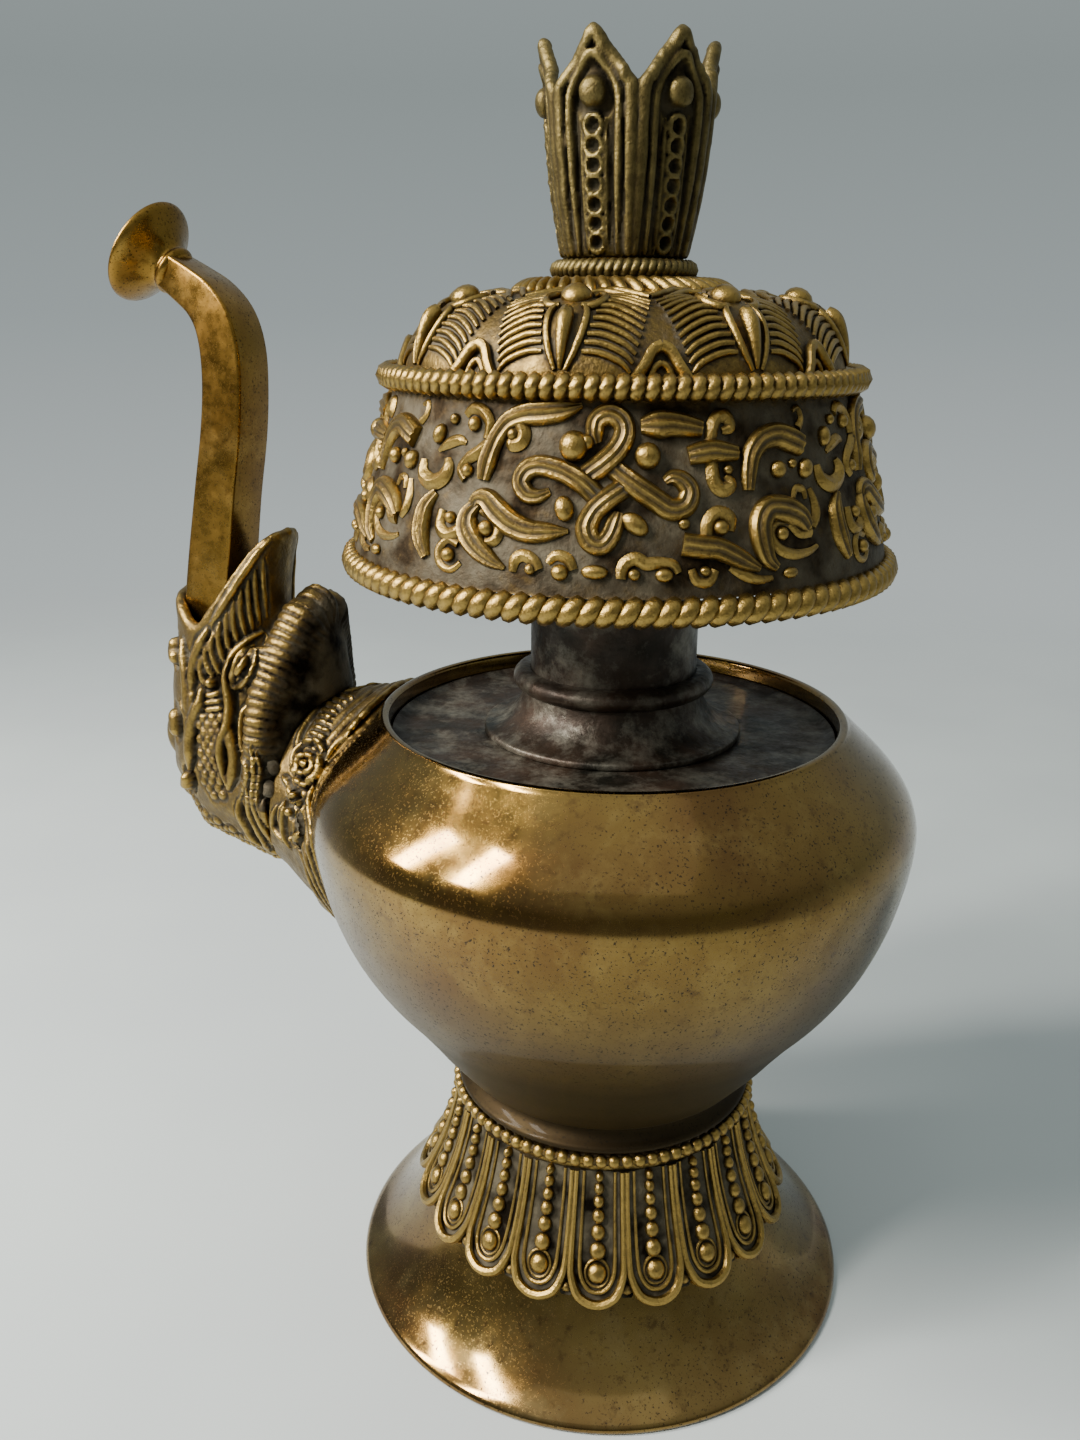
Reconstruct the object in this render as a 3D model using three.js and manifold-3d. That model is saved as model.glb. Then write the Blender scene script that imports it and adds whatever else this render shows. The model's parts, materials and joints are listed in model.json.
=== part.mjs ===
// A Himalayan ritual water ewer of cast and raised brass.
// A round belly on a flared foot carries a dark neck with a wide ornamental canopy. A lobed crown lifts
// out of the neck. A sea-dragon head looks up from the belly's side and holds the square pouring tube.
import * as THREE from "three";
import { mergeVertices } from "three/addons/utils/BufferGeometryUtils.js";
import Module from "manifold-3d";

const wasm = await Module();
wasm.setup();

// Driving dimensions, all in millimetres. Z is up and the foot stands on Z = 0.
const roundSides = 32; // facets of the wide turned pieces
const slimSides = 20; // facets of the neck and crown pieces
const solderGap = 0.3; // between pieces that meet on a curved or tilted face
const brassWall = 2; // thickness of the raised sheet

// Foot
const footRimRadius = 57.1;
const footRimHeight = 1.6;
const footRestWidth = 2.2; // flat ring under the rim
const footRimChamfer = 0.5;
const footHeight = 56;
const flareTopRadius = 31.6;
const footHeadHeight = 9.4; // bead ring, lip and waist above the flare
const flareLowPull = 9.9; // how far the curve draws in from the rim before it rises
const flareHighPull = 6.4; // how far the curve stands out below the bead ring
const beadRingThickness = 2.8;
const lipOverhang = 2; // bright lip beyond the flare's top
const waistInset = 1;
const footSeatRadius = 20; // hole in the plate that the belly stands on

// Lotus collar round the foot
const lappetCount = 20;
const lappetThickness = 1.5;
const lappetRim = 1.1; // raised edge above the lappet's field
const lappetLength = 26.3;
const lappetNotchDepth = 7.5; // from the tips up to where two lappets part

// Belly
const bellyBaseRadius = 34;
const bellyBaseBead = 0.8; // how far the bowl stands out beyond its base
const bellyStep = 3.2; // upright edge under the bowl
const bellyRadius = 63.9;
const bowlHeight = 60; // from the foot to the brazed seam
const shoulderHeight = 20.8; // from the seam to the rim
const rimInset = 15.2; // from the widest radius in to the rim

// Dished plate inside the rim
const plateDepth = 3.8;
const plateThickness = 1.8;
const plateEdgeHeight = 0.8; // raised edge that is soldered to the shoulder
const plateEdgeWidth = 1;
const plateEdgeSlope = 1.2;
const plateLedge = 2.4;

// Neck
const neckRadius = 17.2;
const neckFlangeWidth = 9.7;
const neckFlangeHeight = 9.4;
const neckBulge = 3.6; // how far the ring stands out from the neck
const neckBulgeHeight = 4;
const neckExposed = 35.3; // from the plate to the canopy's lower rope

// Canopy
const lowerRopeThickness = 4.2;
const lowerRopeInset = 1.1; // from the band's foot in to the rope's middle
const bandFootRadius = 53;
const bandDrawIn = 8.7; // how much narrower the band is at its top
const bandBulge = 0.5; // how far it stands out beyond a straight cone
const bandHeight = 30.4;
const bandShelf = 3.6; // how far the shelf reaches in under the dome
const upperRopeThickness = 4;
const domeRadius = 41.8;
const domeUpright = 4.2; // straight skirt of the dome
const domeShoulderInset = 8.4;
const domeCrownRise = 2.6; // from the dome's shoulder up to its flat top
const domeHeight = 17;
const domeFlatWidth = 2; // flat ring outside the neck
const domeBosses = 8;
const bossHeight = 1.9;
const bossTurn = 4.5; // degrees from the front to a boss, counted towards +X
const collarRopeThickness = 3;

// Socket in the neck's mouth, and the crown that lifts out of it
const socketFlange = 2;
const socketFlangeEdge = 0.6; // how far the flange shows beyond the crown's ring
const socketWall = 4.75;
const tenonLength = 24;
const tenonSpare = 8; // socket left below the tenon
const tenonWall = 2;
const tenonClearance = 0.35;
const crownRingHeight = 3.7;
const crownRingOverhang = 1.2;
const crownLeaves = 6;
const crownSeat = 2.9; // from the tenon out to the cup's foot
const crownSwell = 2.5; // from the cup's foot out to its waist
const crownSpread = 4.2; // from the cup's foot out to its mouth
const crownHeight = 36.4;
const crownNotchDepth = 9;
const crownWall = 1.9;
const leafTurn = -6; // degrees from the front to a leaf's middle, counted towards +X

// Spout root: a cuff on the belly whose axis points out and a little up.
const rootInset = 10; // the root's centre lies this far inside the belly's widest radius
const rootDrop = 9; // and this far below the brazed seam
const rootTilt = 10; // degrees
const cuffRadius = 29.5;
const cuffWall = 4;
const cuffLength = 20;
const cuffEndRadius = 21.5;
const cuffBuried = 30; // length inside the belly before the cuff is cut to it
const spoutHole = 6.5; // radius of the water hole in the belly

// From here the spout's places are reach and height from the root's centre.
// Dragon head, as sections: reach, height, tilt in degrees, half depth, half width
const headSections = [
  [33.1, 5.6, 40, 22.8, 18.4],
  [38.7, 14.9, 56, 22.1, 17],
  [40.3, 28.7, 75, 16.5, 14.6],
  [40, 40, 90, 13.5, 12.8],
  [39.6, 51, 90, 14.1, 12.6],
  [39.7, 64, 90, 17, 12.8],
];
const headWall = 4;
const mouthFloor = 33; // height of the mouth's floor
const throatRadius = 5;
const lipCorner = [41.6, 39.5]; // corner of the mouth
const lipTip = [54, 48];
const crestTip = [25.6, 62];
const crestCap = 1; // how far the cut stays clear of the crest's tip
const lipThickness = 2.6; // wall of the open mouth
const lipRoll = 1.75; // radius of the rolled edge on that wall
const lipSink = 0.5; // how far the roll's middle lies under the cut
const eyePlace = [27.4, 33.6];
const eyeSpread = 13.6;
const eyeLength = 12;
const eyeWidth = 7.4;
const eyeRelief = 3.4;
const eyeTilt = 128; // degrees
const eyeBallOut = 2; // how far the ball's middle lies outside the lid's

// Mane: one roll from the knob on the nape down both cheeks, as reach, side, height, radius
const maneStations = [
  [17.6, 3, 45, 5.6],
  [19.8, 8.2, 38.4, 5.2],
  [21, 11.4, 33, 4.9],
  [22.4, 14.8, 27.3, 4.5],
  [22.8, 17.2, 21.2, 4.1],
  [23.4, 18.2, 14.5, 3.6],
  [24.4, 18.4, 7, 3],
  [25, 18.2, 1, 2.4],
  [24.4, 17.6, -5, 1.8],
];

// Back of the neck under the mane's knob, as level sections: reach, height, half depth, half width
const napeSections = [
  [23, 12, 13, 15],
  [22.4, 22, 11.8, 14],
  [21.4, 30, 9.8, 12],
  [20.5, 38, 8, 10],
  [19.4, 44, 6, 6],
];

// Curls down the chin: reach, height, and half sizes along, across and up
const chinCurls = [
  [53.6, 29.5, 3.6, 6.5, 4.6],
  [56, 11, 4.8, 7.4, 8],
  [54.5, -2.5, 4.6, 5.4, 5],
];

// Square tube: reach, height, half depth and half width of each station, from the throat to the mouth
const tubeStations = [
  [47, 26.5, 5.75, 6],
  [42.9, 50, 5.75, 6],
  [39.4, 69, 5.3, 5.9],
  [36.5, 83, 5.1, 5.9],
  [35.2, 93, 5, 5.8],
  [35.1, 101, 5, 5.7],
  [36.5, 107, 4.8, 5.5],
  [39.7, 111.4, 4.4, 5.1],
  [44.1, 114.5, 4, 4.7],
  [49.3, 117.6, 3.6, 4.2],
];
const tubeChamfer = 0.5;
const tubeWall = 1.7;
const mouthTilt = 31; // degrees
const mouthRadius = 11.6;
const mouthDepth = 7.4;
const mouthSocketEdge = 0.6; // how far the flower's foot stands out beyond the tube's end
const mouthBore = 2.6;

// Heights of the stack, each from the one below
const flareTopHeight = footHeight - footHeadHeight;
const seamHeight = footHeight + bowlHeight;
const rimHeight = seamHeight + shoulderHeight;
const plateTop = rimHeight - plateDepth;
const canopyFoot = plateTop + neckExposed;
const bandFoot = canopyFoot + lowerRopeThickness;
const bandTop = bandFoot + bandHeight;
const domeTop = bandTop + domeHeight;
const socketTop = domeTop + socketFlange;
const crownFoot = socketTop + crownRingHeight;

// Radii that follow from their neighbours
const radians = Math.PI / 180;
const ringSides = 6; // facets of a rope ring's section
const ringSpan = 1 / Math.cos(Math.PI / ringSides); // corner to corner over flat to flat
const waistRadius = flareTopRadius - waistInset;
const rimRadius = bellyRadius - rimInset;
const neckBore = neckRadius - brassWall;
const socketRadius = neckBore - 2 * solderGap;
const socketBore = socketRadius - socketWall;
const tenonRadius = socketBore - tenonClearance;
const tenonBore = tenonRadius - tenonWall;
const crownBaseRadius = tenonRadius + crownSeat;
const crownRingRadius = crownBaseRadius + crownRingOverhang;
const socketFlangeRadius = crownRingRadius + socketFlangeEdge;
const upperRopeRadius = domeRadius + solderGap + (upperRopeThickness / 2) * ringSpan;
const collarRopeRadius = socketFlangeRadius + solderGap + (collarRopeThickness / 2) * ringSpan;
const rootReach = bellyRadius - rootInset;
const rootHeight = seamHeight - rootDrop;
const cuffTaper = cuffRadius - cuffEndRadius;

// A closed three.js geometry as a solid with its faces turned outwards.
function solidOf(geometry) {
  const loose = geometry.index ? geometry.toNonIndexed() : geometry;
  const bare = new THREE.BufferGeometry();
  bare.setAttribute("position", loose.getAttribute("position"));
  const merged = mergeVertices(bare, 1e-4);
  const corners = merged.getAttribute("position").array;
  const faces = [];
  for (let i = 0; i < merged.index.count; i += 3) {
    const [a, b, c] = merged.index.array.slice(i, i + 3);
    if (a !== b && b !== c && c !== a) faces.push(a, b, c);
  }
  const mesh = { numProp: 3, vertProperties: corners, triVerts: new Uint32Array(faces) };
  const made = new wasm.Manifold(new wasm.Mesh(mesh));
  if (made.volume() > 0) return made;
  mesh.triVerts = new Uint32Array(faces.reverse());
  return new wasm.Manifold(new wasm.Mesh(mesh));
}

// A solid of revolution from an outline of [radius, height] points that closes on itself or on the axis.
function turned(outline, sides = roundSides) {
  const points = outline.map(([radius, height]) => new THREE.Vector2(radius, height));
  if (outline[0][0] > 0) points.push(points[0].clone());
  return solidOf(new THREE.LatheGeometry(points, sides).rotateX(Math.PI / 2));
}

// A solid whose closed outline of [radius, height] points changes with the angle round the axis.
function turnedByAngle(columns, outlineAt) {
  const rings = columns.map((column) => {
    const across = new THREE.Vector3(Math.sin(column.angle), -Math.cos(column.angle), 0);
    return outlineAt(column).map(([radius, height]) => across.clone().multiplyScalar(radius).setZ(height));
  });
  return solidOf(skin(rings, true));
}

// The same columns repeated round the axis, each with its angle from the front.
function columnsRound(count, columns, turn = 0) {
  const pitch = (2 * Math.PI) / count;
  const repeats = Array.from({ length: count }, (_, i) => i);
  return repeats.flatMap((i) =>
    columns.map((column) => ({ ...column, angle: (i + column.share) * pitch + turn })),
  );
}

// A smooth curve through [radius, height] points.
function smooth(points, steps) {
  const curve = new THREE.SplineCurve(points.map(([x, y]) => new THREE.Vector2(x, y)));
  return curve.getPoints(steps).map((point) => [point.x, point.y]);
}

// A curve moved sideways, to the left of its own direction.
function beside(curve, distance) {
  return curve.map(([x, y], i) => {
    const [ax, ay] = curve[Math.max(i - 1, 0)];
    const [bx, by] = curve[Math.min(i + 1, curve.length - 1)];
    const length = Math.hypot(bx - ax, by - ay);
    return [x - (distance * (by - ay)) / length, y + (distance * (bx - ax)) / length];
  });
}

// The radius at a height on a curve of [radius, height] points that rises all the way.
function radiusAt(curve, height) {
  const next = curve.findIndex(([, z]) => z >= height);
  if (next < 1) return next === 0 ? curve[0][0] : curve[curve.length - 1][0];
  const [r0, z0] = curve[next - 1];
  const [r1, z1] = curve[next];
  return r0 + ((r1 - r0) * (height - z0)) / (z1 - z0);
}

// The faces between rings of points: closed end to end as a hoop, or capped at both ends.
function skin(rings, hoop = false) {
  const count = rings[0].length;
  const corners = rings.flat();
  const faces = [];
  const last = hoop ? rings.length : rings.length - 1;
  for (let ring = 0; ring < last; ring++) {
    const here = ring * count;
    const there = ((ring + 1) % rings.length) * count;
    for (let i = 0; i < count; i++) {
      const j = (i + 1) % count;
      faces.push(here + i, here + j, there + i, here + j, there + j, there + i);
    }
  }
  if (!hoop) {
    [rings[0], rings[rings.length - 1]].forEach((ring, end) => {
      const middle = ring.reduce((sum, p) => sum.add(p), new THREE.Vector3()).divideScalar(count);
      const start = end ? (rings.length - 1) * count : 0;
      corners.push(middle);
      for (let i = 0; i < count; i++) {
        const j = (i + 1) % count;
        const pair = end ? [start + i, start + j] : [start + j, start + i];
        faces.push(...pair, corners.length - 1);
      }
    });
  }
  const geometry = new THREE.BufferGeometry().setFromPoints(corners);
  geometry.setIndex(faces);
  return geometry;
}

// One oval ring across a path in the spout's plane.
function oval([reach, height], tilt, halfDepth, halfWidth, sides = slimSides) {
  const up = new THREE.Vector3(-Math.sin(tilt * radians), 0, Math.cos(tilt * radians));
  return Array.from({ length: sides }, (_, i) => {
    const turn = (2 * Math.PI * i) / sides;
    const point = new THREE.Vector3(reach, halfWidth * Math.sin(turn), height);
    return point.addScaledVector(up, halfDepth * Math.cos(turn));
  });
}

// One square ring with small chamfers across a path in the spout's plane.
function square([reach, height], tilt, halfDepth, halfWidth) {
  const up = new THREE.Vector3(-Math.sin(tilt * radians), 0, Math.cos(tilt * radians));
  const depth = halfDepth - tubeChamfer;
  const width = halfWidth - tubeChamfer;
  const corners = [
    [halfDepth, -width],
    [halfDepth, width],
    [depth, halfWidth],
    [-depth, halfWidth],
    [-halfDepth, width],
    [-halfDepth, -width],
    [-depth, -halfWidth],
    [depth, -halfWidth],
  ];
  return corners.map(([deep, wide]) =>
    new THREE.Vector3(reach, wide, height).addScaledVector(up, deep),
  );
}

// A round roll along a smooth path of [reach, side, height, radius] stations. A hoop closes on itself.
function roll(stations, steps, sides, hoop = false) {
  const path = stations.map(([reach, side, height]) => new THREE.Vector3(reach, side, height));
  const curve = new THREE.CatmullRomCurve3(path, hoop);
  const radii = stations.map(([, , , radius]) => radius);
  if (hoop) radii.push(radii[0]);
  const girth = new THREE.SplineCurve(radii.map((r, i) => new THREE.Vector2(i, r)));
  const rings = Array.from({ length: hoop ? steps : steps + 1 }, (_, i) => {
    const t = i / steps;
    const along = curve.getTangent(t);
    const side = new THREE.Vector3(0.3, 1, 0.2).cross(along).normalize();
    const other = along.clone().cross(side);
    const radius = girth.getPoint(t).y;
    return Array.from({ length: sides }, (_, k) => {
      const turn = (2 * Math.PI * k) / sides;
      return curve
        .getPoint(t)
        .addScaledVector(side, radius * Math.cos(turn))
        .addScaledVector(other, radius * Math.sin(turn));
    });
  });
  return solidOf(skin(rings, hoop));
}

// The stations of one side, led over the middle to the other side.
function acrossMiddle(half) {
  const mirrored = half.map(([reach, side, height, radius]) => [reach, -side, height, radius]);
  return [...mirrored.reverse(), ...half];
}

// An egg-shaped boss.
function boss(reach, side, height, sizes, tilt = 0) {
  const ball = new THREE.SphereGeometry(1, 10, 6).scale(...sizes);
  return solidOf(ball.rotateY(-tilt * radians).translate(reach, side, height));
}

// The outline of a rope ring of the given thickness, with a flat top and bottom.
function ringOutline(radius, middle, thickness) {
  const size = (thickness / 2) * ringSpan;
  return Array.from({ length: ringSides }, (_, i) => {
    const turn = (2 * Math.PI * i) / ringSides;
    return [radius + size * Math.cos(turn), middle + size * Math.sin(turn)];
  });
}

// Foot: the flare is one curve from the rim up to the groove of the bead ring.
const flareCurve = new THREE.CubicBezierCurve(
  new THREE.Vector2(footRimRadius, footRimHeight),
  new THREE.Vector2(footRimRadius - flareLowPull, flareTopHeight * 0.3),
  new THREE.Vector2(flareTopRadius + flareHighPull, flareTopHeight * 0.633),
  new THREE.Vector2(flareTopRadius, flareTopHeight),
);
const flare = flareCurve.getPoints(5).map((point) => [point.x, point.y]);
const grooveTop = flareTopHeight + beadRingThickness + 2 * solderGap;

function footPedestal() {
  const innerFlare = beside(flare, brassWall);
  const restInner = footRimRadius - footRestWidth - footRimChamfer;
  const plateBottom = footHeight - brassWall;
  const lipRadius = flareTopRadius + lipOverhang;
  const headRise = footHeight - grooveTop;
  return turned([
    [footRimRadius - footRimChamfer, 0],
    [footRimRadius, footRimChamfer],
    ...flare,
    [flareTopRadius, grooveTop],
    [lipRadius, grooveTop + headRise * 0.05],
    [lipRadius - 0.2, grooveTop + headRise * 0.2],
    [waistRadius + 0.4, grooveTop + headRise * 0.53],
    [waistRadius, footHeight],
    [footSeatRadius, footHeight],
    [footSeatRadius, plateBottom],
    [waistRadius - brassWall, plateBottom],
    [flareTopRadius - brassWall, grooveTop],
    ...innerFlare.slice(1, -1).reverse(),
    [restInner, 0],
  ]);
}

function footBeadRing() {
  const middle = flareTopHeight + solderGap + beadRingThickness / 2;
  const radius = flareTopRadius + solderGap + (beadRingThickness / 2) * ringSpan;
  return turned(ringOutline(radius, middle, beadRingThickness));
}

// Lotus collar: one hoop whose lower edge falls in a round tongue at each lappet.
// share is the place across the lappet, edge how far the lower edge has risen, relief the raised rim.
const lappetColumns = [
  { share: -0.5, edge: 1, relief: 0 },
  { share: -0.43, edge: 0.72, relief: 0.4 },
  { share: -0.33, edge: 0.34, relief: 1 },
  { share: -0.17, edge: 0.06, relief: 0.2 },
  { share: -0.09, edge: 0.02, relief: 0.2 },
  { share: 0, edge: 0, relief: 0.9 },
  { share: 0.09, edge: 0.02, relief: 0.2 },
  { share: 0.17, edge: 0.06, relief: 0.2 },
  { share: 0.33, edge: 0.34, relief: 1 },
  { share: 0.43, edge: 0.72, relief: 0.4 },
];

function lotusCollar() {
  const fineFlare = flareCurve.getPoints(40).map((point) => [point.x, point.y]);
  const bed = beside(fineFlare, -solderGap);
  const rows = 3;
  const top = flareTopHeight - solderGap;
  return turnedByAngle(columnsRound(lappetCount, lappetColumns), ({ edge, relief }) => {
    const low = top - lappetLength + lappetNotchDepth * edge;
    const inner = Array.from({ length: rows }, (_, k) => {
      const height = low + ((top - low) * k) / (rows - 1);
      return [radiusAt(bed, height), height];
    });
    const outer = beside(inner, -(lappetThickness + lappetRim * relief));
    outer[0] = beside(inner, -lappetThickness)[0];
    outer[rows - 1][1] = top;
    return [...inner, ...outer.reverse()];
  });
}

// Belly: a deep bowl and a shoulder that meet in the brazed seam at the widest line.
// The bowl's curve, as shares of its spread from the base and of its rise to the seam
const bowlShares = [
  [0, 0.03],
  [0.06, 0.09],
  [0.19, 0.2],
  [0.38, 0.33],
  [0.6, 0.5],
  [0.79, 0.67],
  [0.93, 0.84],
  [1, 1],
];
const bowlFootRadius = bellyBaseRadius + bellyBaseBead;
const bowlFloor = footHeight + bellyStep;
const bowlCurve = smooth(
  bowlShares.map(([out, up]) => [
    bowlFootRadius + (bellyRadius - bowlFootRadius) * out,
    bowlFloor + (seamHeight - bowlFloor) * up,
  ]),
  8,
);
const shoulderCurve = smooth(
  [
    [bellyRadius, seamHeight],
    [bellyRadius - rimInset * 0.1, seamHeight + shoulderHeight * 0.27],
    [bellyRadius - rimInset * 0.415, seamHeight + shoulderHeight * 0.58],
    [rimRadius, rimHeight],
  ],
  5,
);

// The spout is drawn from the root's centre with its reach along +X, then set on the belly towards -X.
function setOnBelly(shape) {
  return shape.rotate([0, 0, 180]).translate([-rootReach, 0, rootHeight]);
}

function rootPoint(along, aside, up) {
  const tilt = rootTilt * radians;
  const reach = along * Math.cos(tilt) - up * Math.sin(tilt);
  return new THREE.Vector3(reach, aside, along * Math.sin(tilt) + up * Math.cos(tilt));
}

function rootRing(along, radius, sides = 28) {
  return Array.from({ length: sides }, (_, i) => {
    const turn = (2 * Math.PI * i) / sides;
    return rootPoint(along, radius * Math.sin(turn), radius * Math.cos(turn));
  });
}

function waterHole() {
  const ends = [-rootInset, cuffLength].map((along) => rootRing(along, spoutHole, 12));
  return setOnBelly(solidOf(skin(ends)));
}

function bellyBowl() {
  const inner = beside(bowlCurve, brassWall);
  inner[inner.length - 1][1] = seamHeight;
  const floor = footHeight + brassWall;
  const bowl = turned([
    [0, footHeight],
    [bellyBaseRadius - 0.6, footHeight],
    [bellyBaseRadius + 0.4, footHeight + 0.8],
    ...bowlCurve,
    ...inner.slice(1).reverse(),
    [bellyBaseRadius - brassWall, floor],
    [0, floor],
  ]);
  return bowl.subtract(waterHole());
}

function bellyShoulder() {
  const inner = beside(shoulderCurve, brassWall);
  inner[0][1] = seamHeight;
  const mouth = rimRadius - brassWall;
  const ledgeTop = plateTop - plateThickness;
  const ledgeBottom = ledgeTop - brassWall;
  const below = inner.filter(([, z]) => z < ledgeBottom - 1);
  const shoulder = turned([
    ...shoulderCurve,
    [rimRadius - 0.6, rimHeight + 0.5],
    [mouth + 0.4, rimHeight + 0.5],
    [mouth, rimHeight],
    [mouth, ledgeTop],
    [mouth - plateLedge, ledgeTop],
    [mouth - plateLedge, ledgeBottom],
    ...below.reverse(),
  ]);
  return shoulder.subtract(waterHole());
}

function shoulderPlate() {
  const outer = rimRadius - brassWall - solderGap;
  const bottom = plateTop - plateThickness;
  return turned([
    [neckBore, bottom],
    [outer, bottom],
    [outer, plateTop + plateEdgeHeight],
    [outer - plateEdgeWidth, plateTop + plateEdgeHeight],
    [outer - plateEdgeWidth - plateEdgeSlope, plateTop],
    [neckBore, plateTop],
  ]);
}

function neckFlange() {
  const sleeve = neckRadius + solderGap;
  const rim = neckRadius + neckFlangeWidth;
  return turned(
    [
      [sleeve, plateTop],
      [rim, plateTop],
      [rim, plateTop + neckFlangeHeight * 0.15],
      [neckRadius + neckFlangeWidth * 0.69, plateTop + neckFlangeHeight * 0.23],
      [neckRadius + neckFlangeWidth * 0.41, plateTop + neckFlangeHeight * 0.4],
      [neckRadius + neckFlangeWidth * 0.2, plateTop + neckFlangeHeight * 0.66],
      [neckRadius + neckFlangeWidth * 0.14, plateTop + neckFlangeHeight],
      [sleeve, plateTop + neckFlangeHeight],
    ],
    slimSides,
  );
}

function neckRing() {
  const sleeve = neckRadius + solderGap;
  const bottom = plateTop + neckFlangeHeight;
  const edge = neckRadius + neckBulge * 0.6;
  const nearly = neckRadius + neckBulge * 0.92;
  return turned(
    [
      [sleeve, bottom],
      [edge, bottom],
      [nearly, bottom + neckBulgeHeight * 0.25],
      [neckRadius + neckBulge, bottom + neckBulgeHeight * 0.5],
      [nearly, bottom + neckBulgeHeight * 0.75],
      [edge, bottom + neckBulgeHeight],
      [sleeve, bottom + neckBulgeHeight],
    ],
    slimSides,
  );
}

function neckTube() {
  const top = domeTop - brassWall;
  return turned(
    [
      [neckBore, plateTop],
      [neckRadius, plateTop],
      [neckRadius, top],
      [neckBore, top],
    ],
    slimSides,
  );
}

// Canopy: two rope rings with the ornamental band between them, and the flat dome on top.
function canopyLowerRope() {
  const middle = canopyFoot + lowerRopeThickness / 2;
  return turned(ringOutline(bandFootRadius - lowerRopeInset, middle, lowerRopeThickness));
}

function canopyBand() {
  const outer = smooth(
    [
      [bandFootRadius, bandFoot],
      [bandFootRadius - bandDrawIn * 0.3 + bandBulge, bandFoot + bandHeight * 0.3],
      [bandFootRadius - bandDrawIn, bandTop],
    ],
    4,
  );
  const inner = beside(outer, brassWall);
  inner[0][1] = bandFoot;
  const shelfRadius = domeRadius - bandShelf;
  return turned([
    ...outer,
    [shelfRadius, bandTop],
    [shelfRadius, bandTop - brassWall],
    ...inner.slice(0, -1).reverse(),
  ]);
}

function canopyUpperRope() {
  const middle = bandTop + upperRopeThickness / 2;
  return turned(ringOutline(upperRopeRadius, middle, upperRopeThickness));
}

// The dome swells into a mound at each boss: share is the place across it, swelling how far it has risen.
const bossColumns = [
  { share: -0.5, swelling: 0 },
  { share: -0.3, swelling: 0.25 },
  { share: -0.16, swelling: 0.8 },
  { share: 0, swelling: 1 },
  { share: 0.16, swelling: 0.8 },
  { share: 0.3, swelling: 0.25 },
];

function canopyDome() {
  const flat = neckRadius + domeFlatWidth;
  const hole = neckBore - solderGap;
  const swell = domeHeight - domeUpright - domeCrownRise;
  const outer = [
    [domeRadius, bandTop, 0],
    [domeRadius, bandTop + domeUpright, 0.2],
    [domeRadius - domeShoulderInset * 0.27, bandTop + domeUpright + swell * 0.42, 0.8],
    [domeRadius - domeShoulderInset * 0.57, bandTop + domeUpright + swell * 0.72, 1],
    [domeRadius - domeShoulderInset, bandTop + domeUpright + swell, 1],
    [(domeRadius - domeShoulderInset + flat) / 2, domeTop - domeCrownRise / 2, 0.4],
    [flat, domeTop, 0],
  ];
  const inner = beside(outer, brassWall);
  inner[0][1] = bandTop;
  inner[inner.length - 1] = [flat, domeTop - brassWall];
  const columns = columnsRound(domeBosses, bossColumns, bossTurn * radians);
  return turnedByAngle(columns, ({ swelling }) => {
    const raised = outer.map(([radius, height, share]) => {
      const rise = bossHeight * share * swelling;
      return [radius + rise / 2, height + rise];
    });
    return [...raised, [hole, domeTop], [hole, domeTop - brassWall], ...inner.toReversed()];
  });
}

function domeCollarRope() {
  const middle = domeTop + collarRopeThickness / 2;
  return turned(ringOutline(collarRopeRadius, middle, collarRopeThickness), slimSides);
}

function mouthSocket() {
  const socketFoot = socketTop - tenonLength - tenonSpare;
  return turned(
    [
      [socketBore, socketFoot],
      [socketRadius, socketFoot],
      [socketRadius, domeTop],
      [socketFlangeRadius, domeTop],
      [socketFlangeRadius, socketTop],
      [socketBore, socketTop],
    ],
    slimSides,
  );
}

// Crown: tenon, rope ring and the leaved cup.
function crownTenon() {
  const foot = socketTop - tenonLength;
  return turned(
    [
      [tenonBore, foot],
      [tenonRadius - 0.6, foot],
      [tenonRadius, foot + 1],
      [tenonRadius, crownFoot],
      [tenonBore, crownFoot],
    ],
    slimSides,
  );
}

function crownRopeRing() {
  const inner = tenonRadius + solderGap;
  return turned(
    [
      [inner, socketTop],
      [crownRingRadius - 1, socketTop],
      [crownRingRadius, socketTop + 1],
      [crownRingRadius, crownFoot - 1],
      [crownRingRadius - 1, crownFoot],
      [inner, crownFoot],
    ],
    slimSides,
  );
}

// Each leaf is a flat panel of the cup with a pointed top, a raised edge and a raised middle rib.
// share is the place across the leaf, drop how far the top edge has fallen towards the notch.
const leafColumns = [
  { share: -0.5, relief: -0.9, drop: 1 },
  { share: -0.44, relief: 0.35, drop: 0.96 },
  { share: -0.34, relief: 0.45, drop: 0.74 },
  { share: -0.26, relief: -0.2, drop: 0.55 },
  { share: -0.12, relief: -0.2, drop: 0.26 },
  { share: -0.08, relief: 0.5, drop: 0.17 },
  { share: 0, relief: 0.5, drop: 0 },
  { share: 0.08, relief: 0.5, drop: 0.17 },
  { share: 0.12, relief: -0.2, drop: 0.26 },
  { share: 0.26, relief: -0.2, drop: 0.55 },
  { share: 0.34, relief: 0.45, drop: 0.74 },
  { share: 0.44, relief: 0.35, drop: 0.96 },
];

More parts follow.
